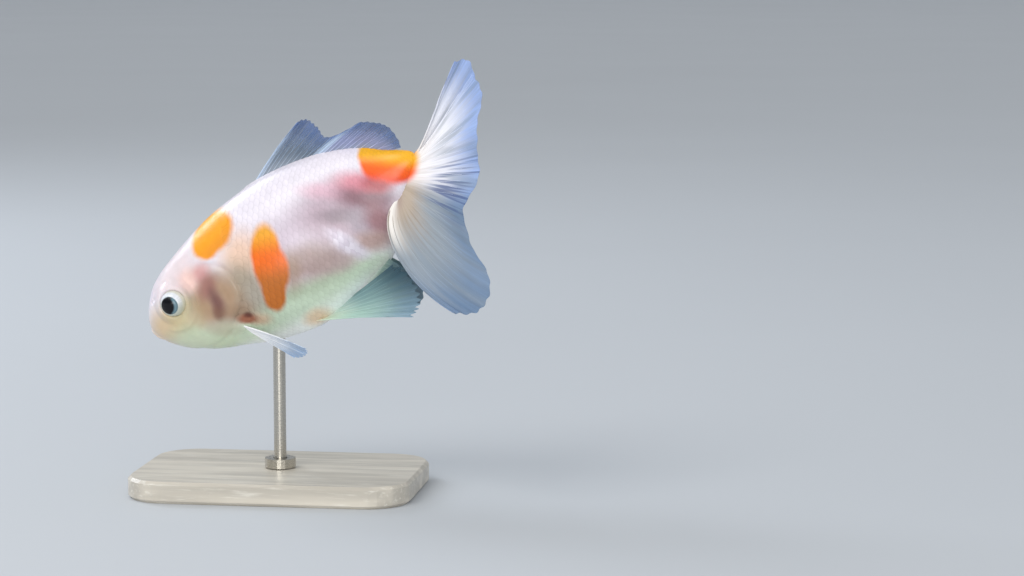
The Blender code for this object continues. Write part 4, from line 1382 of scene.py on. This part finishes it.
def eye_material(colours):
    """A black pupil with a painted blue reflection on its rear, in an iris lit silver above and dull below by
    painted light.
    """
    material, nodes, shader = new_material(
        "eye", 0.3, Specular_IOR_Level=0.12, Coat_Roughness=0.03
    )
    own = nodes.attribute("eye_place")
    flat = nodes.vector("MULTIPLY", own, (1, 1, 0))
    reach = nodes.measure("LENGTH", flat)
    way = nodes.vector("NORMALIZE", flat)
    fibres = nodes.noise(nodes.vector("MULTIPLY", way, (9, 9, 9)), 1.0, 4.0, 0.7)
    # Painted light and shade: the iris is silver where it faces up in the room and duller below.
    upwards = nodes.measure("DOT_PRODUCT", way, UP_IN_EYE)
    silver = nodes.mix(nodes.rise(upwards, -0.3, 0.75), ink("C6CABC"), (*colours.iris, 1))
    silver = nodes.mix(nodes.rise(fibres, 0.3, 0.7, 0.35, 0.0), silver, ink("B4BCBC"))
    edge = PUPIL_RADIUS / EYE_RADIUS
    silver = nodes.mix(nodes.rise(reach, edge + 0.05, edge, 0.0, 0.45), silver, ink("98A4A8"))
    silver = nodes.mix(nodes.rise(reach, 0.78, 0.88, 0.0, 0.6), silver, ink("C8C2A4"))
    rearwards = nodes.measure("DOT_PRODUCT", own, REAR_IN_EYE)
    # Painted reflection: a blue-grey crescent of reflected light on the rear of the pupil.
    ahead = nodes.vector("ADD", flat, nodes.scaled(REAR_IN_EYE, 0.17))
    painted_reflection = nodes.measure("LENGTH", ahead)
    painted_reflection = nodes.times(nodes.rise(painted_reflection, 0.5, 0.64), nodes.rise(rearwards, 0.05, 0.3))
    black = nodes.mix(painted_reflection, ink("04060C"), ink("6C8894"))
    pupil = nodes.rise(reach, edge - 0.012, edge + 0.01, 1.0, 0.0)
    coat = nodes.rise(pupil, 0.0, 1.0, 0.7, 0.4)
    nodes.plug(shader, Base_Color=nodes.mix(pupil, silver, black), Coat_Weight=coat)
    return material


class GOLDFISH_OT_eyes(bpy.types.Operator):
    """Makes each eye: a glossy ball with a bulging pupil in a silver iris."""

    bl_idname = "goldfish.eyes"
    bl_label = "Eyes"

    def execute(self, context):
        finish = eye_material(context.scene.goldfish_colours)
        for name, side in SIDES.items():
            middle = (EYE_STATION, side * eye_out(), EYE_HEIGHT)
            gaze = turned(np.array(GAZE) * (1, side, 1), -PITCH)  # back from the room's ways to level ones
            ball = turned_shape(f"eyeball_{name}", eye_profile(), middle, gaze)
            ball.data.materials.append(finish)
            finish_piece(ball, "eye", f"eye_{name}")
        return {"FINISHED"}


# ---------------------------------------------------------------- stand


def wood_material(colours):
    material, nodes, shader = new_material("limed_oak", 0.42, Coat_Weight=0.25, Coat_Roughness=0.22)
    place = nodes.place()
    stretched = nodes.add("ShaderNodeMapping", place, (0, 0, 0), (0, 0, 0.03), (60, 900, 900))
    grain = nodes.noise(stretched, 1.0, 5.0, 0.6)
    streak = nodes.noise(nodes.vector("MULTIPLY", place, (14, 160, 160)), 1.0, 3.0)
    dark = tuple(c * 0.74 for c in colours.wood)
    colour = nodes.mix(nodes.rise(streak, 0.35, 0.65), (*colours.wood, 1), (*dark, 1))
    colour = nodes.mix(nodes.rise(grain, 0.52, 0.7, 0.0, 0.5), colour, ink("F0ECE2"))
    nodes.plug(shader, Base_Color=colour, Roughness=nodes.rise(grain, 0.3, 0.7, 0.34, 0.5))
    nodes.bump(shader, grain, 0.3, 0.1)
    return material


def steel_material(colours):
    material, nodes, shader = new_material("brushed_metal", 0.3, 1.0)
    brushed = nodes.noise(nodes.vector("MULTIPLY", nodes.place(), (900, 900, 9000)), 1.0, 3.0)
    dull = tuple(c * 0.8 for c in colours.steel)
    colour = nodes.mix(brushed, (*dull, 1), (*colours.steel, 1))
    nodes.plug(shader, Base_Color=colour, Roughness=nodes.rise(brushed, 0.3, 0.7, 0.22, 0.38))
    return material


class GOLDFISH_OT_stand(bpy.types.Operator):
    """Finishes the stand's base in limed oak, and its rod and collar in brushed metal."""

    bl_idname = "goldfish.stand"
    bl_label = "Stand"

    def execute(self, context):
        colours = context.scene.goldfish_colours
        metal = steel_material(colours)
        for node, material in (
            ("stand_base", wood_material(colours)), ("stand_rod", metal), ("stand_collar", metal),
        ):
            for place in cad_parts[node].material_slots:
                place.material = material
        return {"FINISHED"}


# ---------------------------------------------------------------- floor, light and camera

FLOOR_REACH, FLOOR_BEND, WALL_HEIGHT, BEND_STEPS, FLOOR_SIDES = 9.0, 3.0, 4.0, 16, 96
CAMERA_TURN, CAMERA_RISE, CAMERA_DISTANCE, CAMERA_LENS = 8.0, 7.2, 0.9, 97.35
LIPS_IN_VIEW = (-0.349, -0.043)  # right of the view's middle and above it, as shares of the view's width
LIT_MIDDLE = (0.01, 0, 0.07)
# Each light's name, place, size, power and colour, and the light of the room.
LIGHTS = (
    ("key", (-0.5, -0.8, 1.1), 0.8, 5.6, (1.0, 0.98, 0.95)),
    ("fill", (0.2, -1.3, 0.1), 0.9, 10.5, (1.0, 0.99, 0.95)),
    ("rim", (-0.9, 0.55, 0.7), 0.6, 5, (0.86, 0.92, 1.0)),
)
ROOM_LIGHT = {"Color": (0.94, 0.97, 1.0, 1), "Strength": 0.66}


def floor_material(colours):
    material, nodes, shader = new_material("pale_floor", 0.7)
    cloud = nodes.noise(nodes.place(), 3.0, 2.0)
    paler = tuple(min(1.0, c * 1.05) for c in colours.floor)
    nodes.plug(shader, Base_Color=nodes.mix(cloud, (*colours.floor, 1), (*paler, 1)))
    return material


def sweep_floor(colours):
    """A round floor that curves up into a wall far behind and all round the model."""
    outline = [(0.0, 0.0), (0.6, 0.0), (2.5, 0.0), (FLOOR_REACH, 0.0)]
    for step in range(1, BEND_STEPS + 1):
        turn = math.pi / 2 * step / BEND_STEPS
        outline.append((FLOOR_REACH + FLOOR_BEND * math.sin(turn), FLOOR_BEND * (1 - math.cos(turn))))
    outline.append((FLOOR_REACH + FLOOR_BEND, WALL_HEIGHT))
    points = [(0, 0, 0)]
    for reach, height in outline[1:]:
        for k in range(FLOOR_SIDES):
            turn = 2 * math.pi * k / FLOOR_SIDES
            points.append((reach * math.cos(turn), reach * math.sin(turn), height))
    faces = [(0, 1 + k, 1 + (k + 1) % FLOOR_SIDES) for k in range(FLOOR_SIDES)]
    faces += grid_faces(len(outline) - 1, FLOOR_SIDES, 1, closed=True, turned_over=True)
    floor = new_mesh_object("floor", points, faces)
    floor.data.shade_smooth()
    floor.data.materials.append(floor_material(colours))


def add_light(name, place, size, power, colour):
    """A round soft light that is aimed at the middle of the fish."""
    light = bpy.data.lights.new(name, "AREA")
    light.shape = "DISK"
    light.size = size
    light.energy = power
    light.color = colour
    obj = bpy.data.objects.new(name, light)
    obj.visible_camera = False
    obj.location = place
    obj.rotation_euler = (Vector(LIT_MIDDLE) - Vector(place)).to_track_quat("-Z", "Y").to_euler()
    bpy.context.scene.collection.objects.link(obj)


def add_camera():
    turn, rise = math.radians(CAMERA_TURN), math.radians(CAMERA_RISE)
    back = Vector((math.sin(turn) * math.cos(rise), -math.cos(turn) * math.cos(rise), math.sin(rise)))
    right = Vector((math.cos(turn), math.sin(turn), 0))
    up = back.cross(right)
    camera = bpy.data.cameras.new("camera")
    camera.lens = CAMERA_LENS
    camera.clip_start, camera.clip_end = 0.01, 20
    width = CAMERA_DISTANCE * camera.sensor_width / camera.lens
    obj = bpy.data.objects.new("camera", camera)
    x, y = LIPS_IN_VIEW
    obj.location = Vector(fish_place()) + back * CAMERA_DISTANCE - right * (x * width) - up * (y * width)
    obj.rotation_euler = Matrix((right, up, back)).transposed().to_euler()
    bpy.context.scene.collection.objects.link(obj)
    bpy.context.scene.camera = obj


class GOLDFISH_OT_stage(bpy.types.Operator):
    """Makes the floor, the soft lights and the camera."""

    bl_idname = "goldfish.stage"
    bl_label = "Stage"

    def execute(self, context):
        sweep_floor(context.scene.goldfish_colours)
        for light in LIGHTS:
            add_light(*light)
        world = bpy.data.worlds.new("soft_room")
        world.use_nodes = True
        for socket, value in ROOM_LIGHT.items():
            world.node_tree.nodes["Background"].inputs[socket].default_value = value
        context.scene.world = world
        context.scene.view_settings.view_transform = "Standard"
        add_camera()
        return {"FINISHED"}


# ---------------------------------------------------------------- the add-on

STEPS = (
    GOLDFISH_OT_skin, GOLDFISH_OT_scales, GOLDFISH_OT_fins, GOLDFISH_OT_eyes, GOLDFISH_OT_stand,
    GOLDFISH_OT_stage,
)


class GOLDFISH_PT_panel(bpy.types.Panel):
    """Lists the steps that dress the goldfish, with their sizes and colours."""

    bl_idname = "GOLDFISH_PT_panel"
    bl_label = "Goldfish"
    bl_space_type = "VIEW_3D"
    bl_region_type = "UI"
    bl_category = "Goldfish"

    def draw(self, context):
        for step in STEPS:
            self.layout.operator(step.bl_idname)
        for settings in (context.scene.goldfish_sizes, context.scene.goldfish_colours):
            box = self.layout.box()
            for name in settings.__annotations__:
                box.prop(settings, name)


CLASSES = (GoldfishSizes, GoldfishColours, *STEPS, GOLDFISH_PT_panel)


def register():
    for cls in CLASSES:
        bpy.utils.register_class(cls)
    bpy.types.Scene.goldfish_sizes = PointerProperty(type=GoldfishSizes)
    bpy.types.Scene.goldfish_colours = PointerProperty(type=GoldfishColours)


def unregister():
    del bpy.types.Scene.goldfish_colours
    del bpy.types.Scene.goldfish_sizes
    for cls in reversed(CLASSES):
        bpy.utils.unregister_class(cls)


def main():
    register()
    for step in STEPS:
        group, name = step.bl_idname.split(".")
        getattr(getattr(bpy.ops, group), name)()


if __name__ == "__main__":
    main()
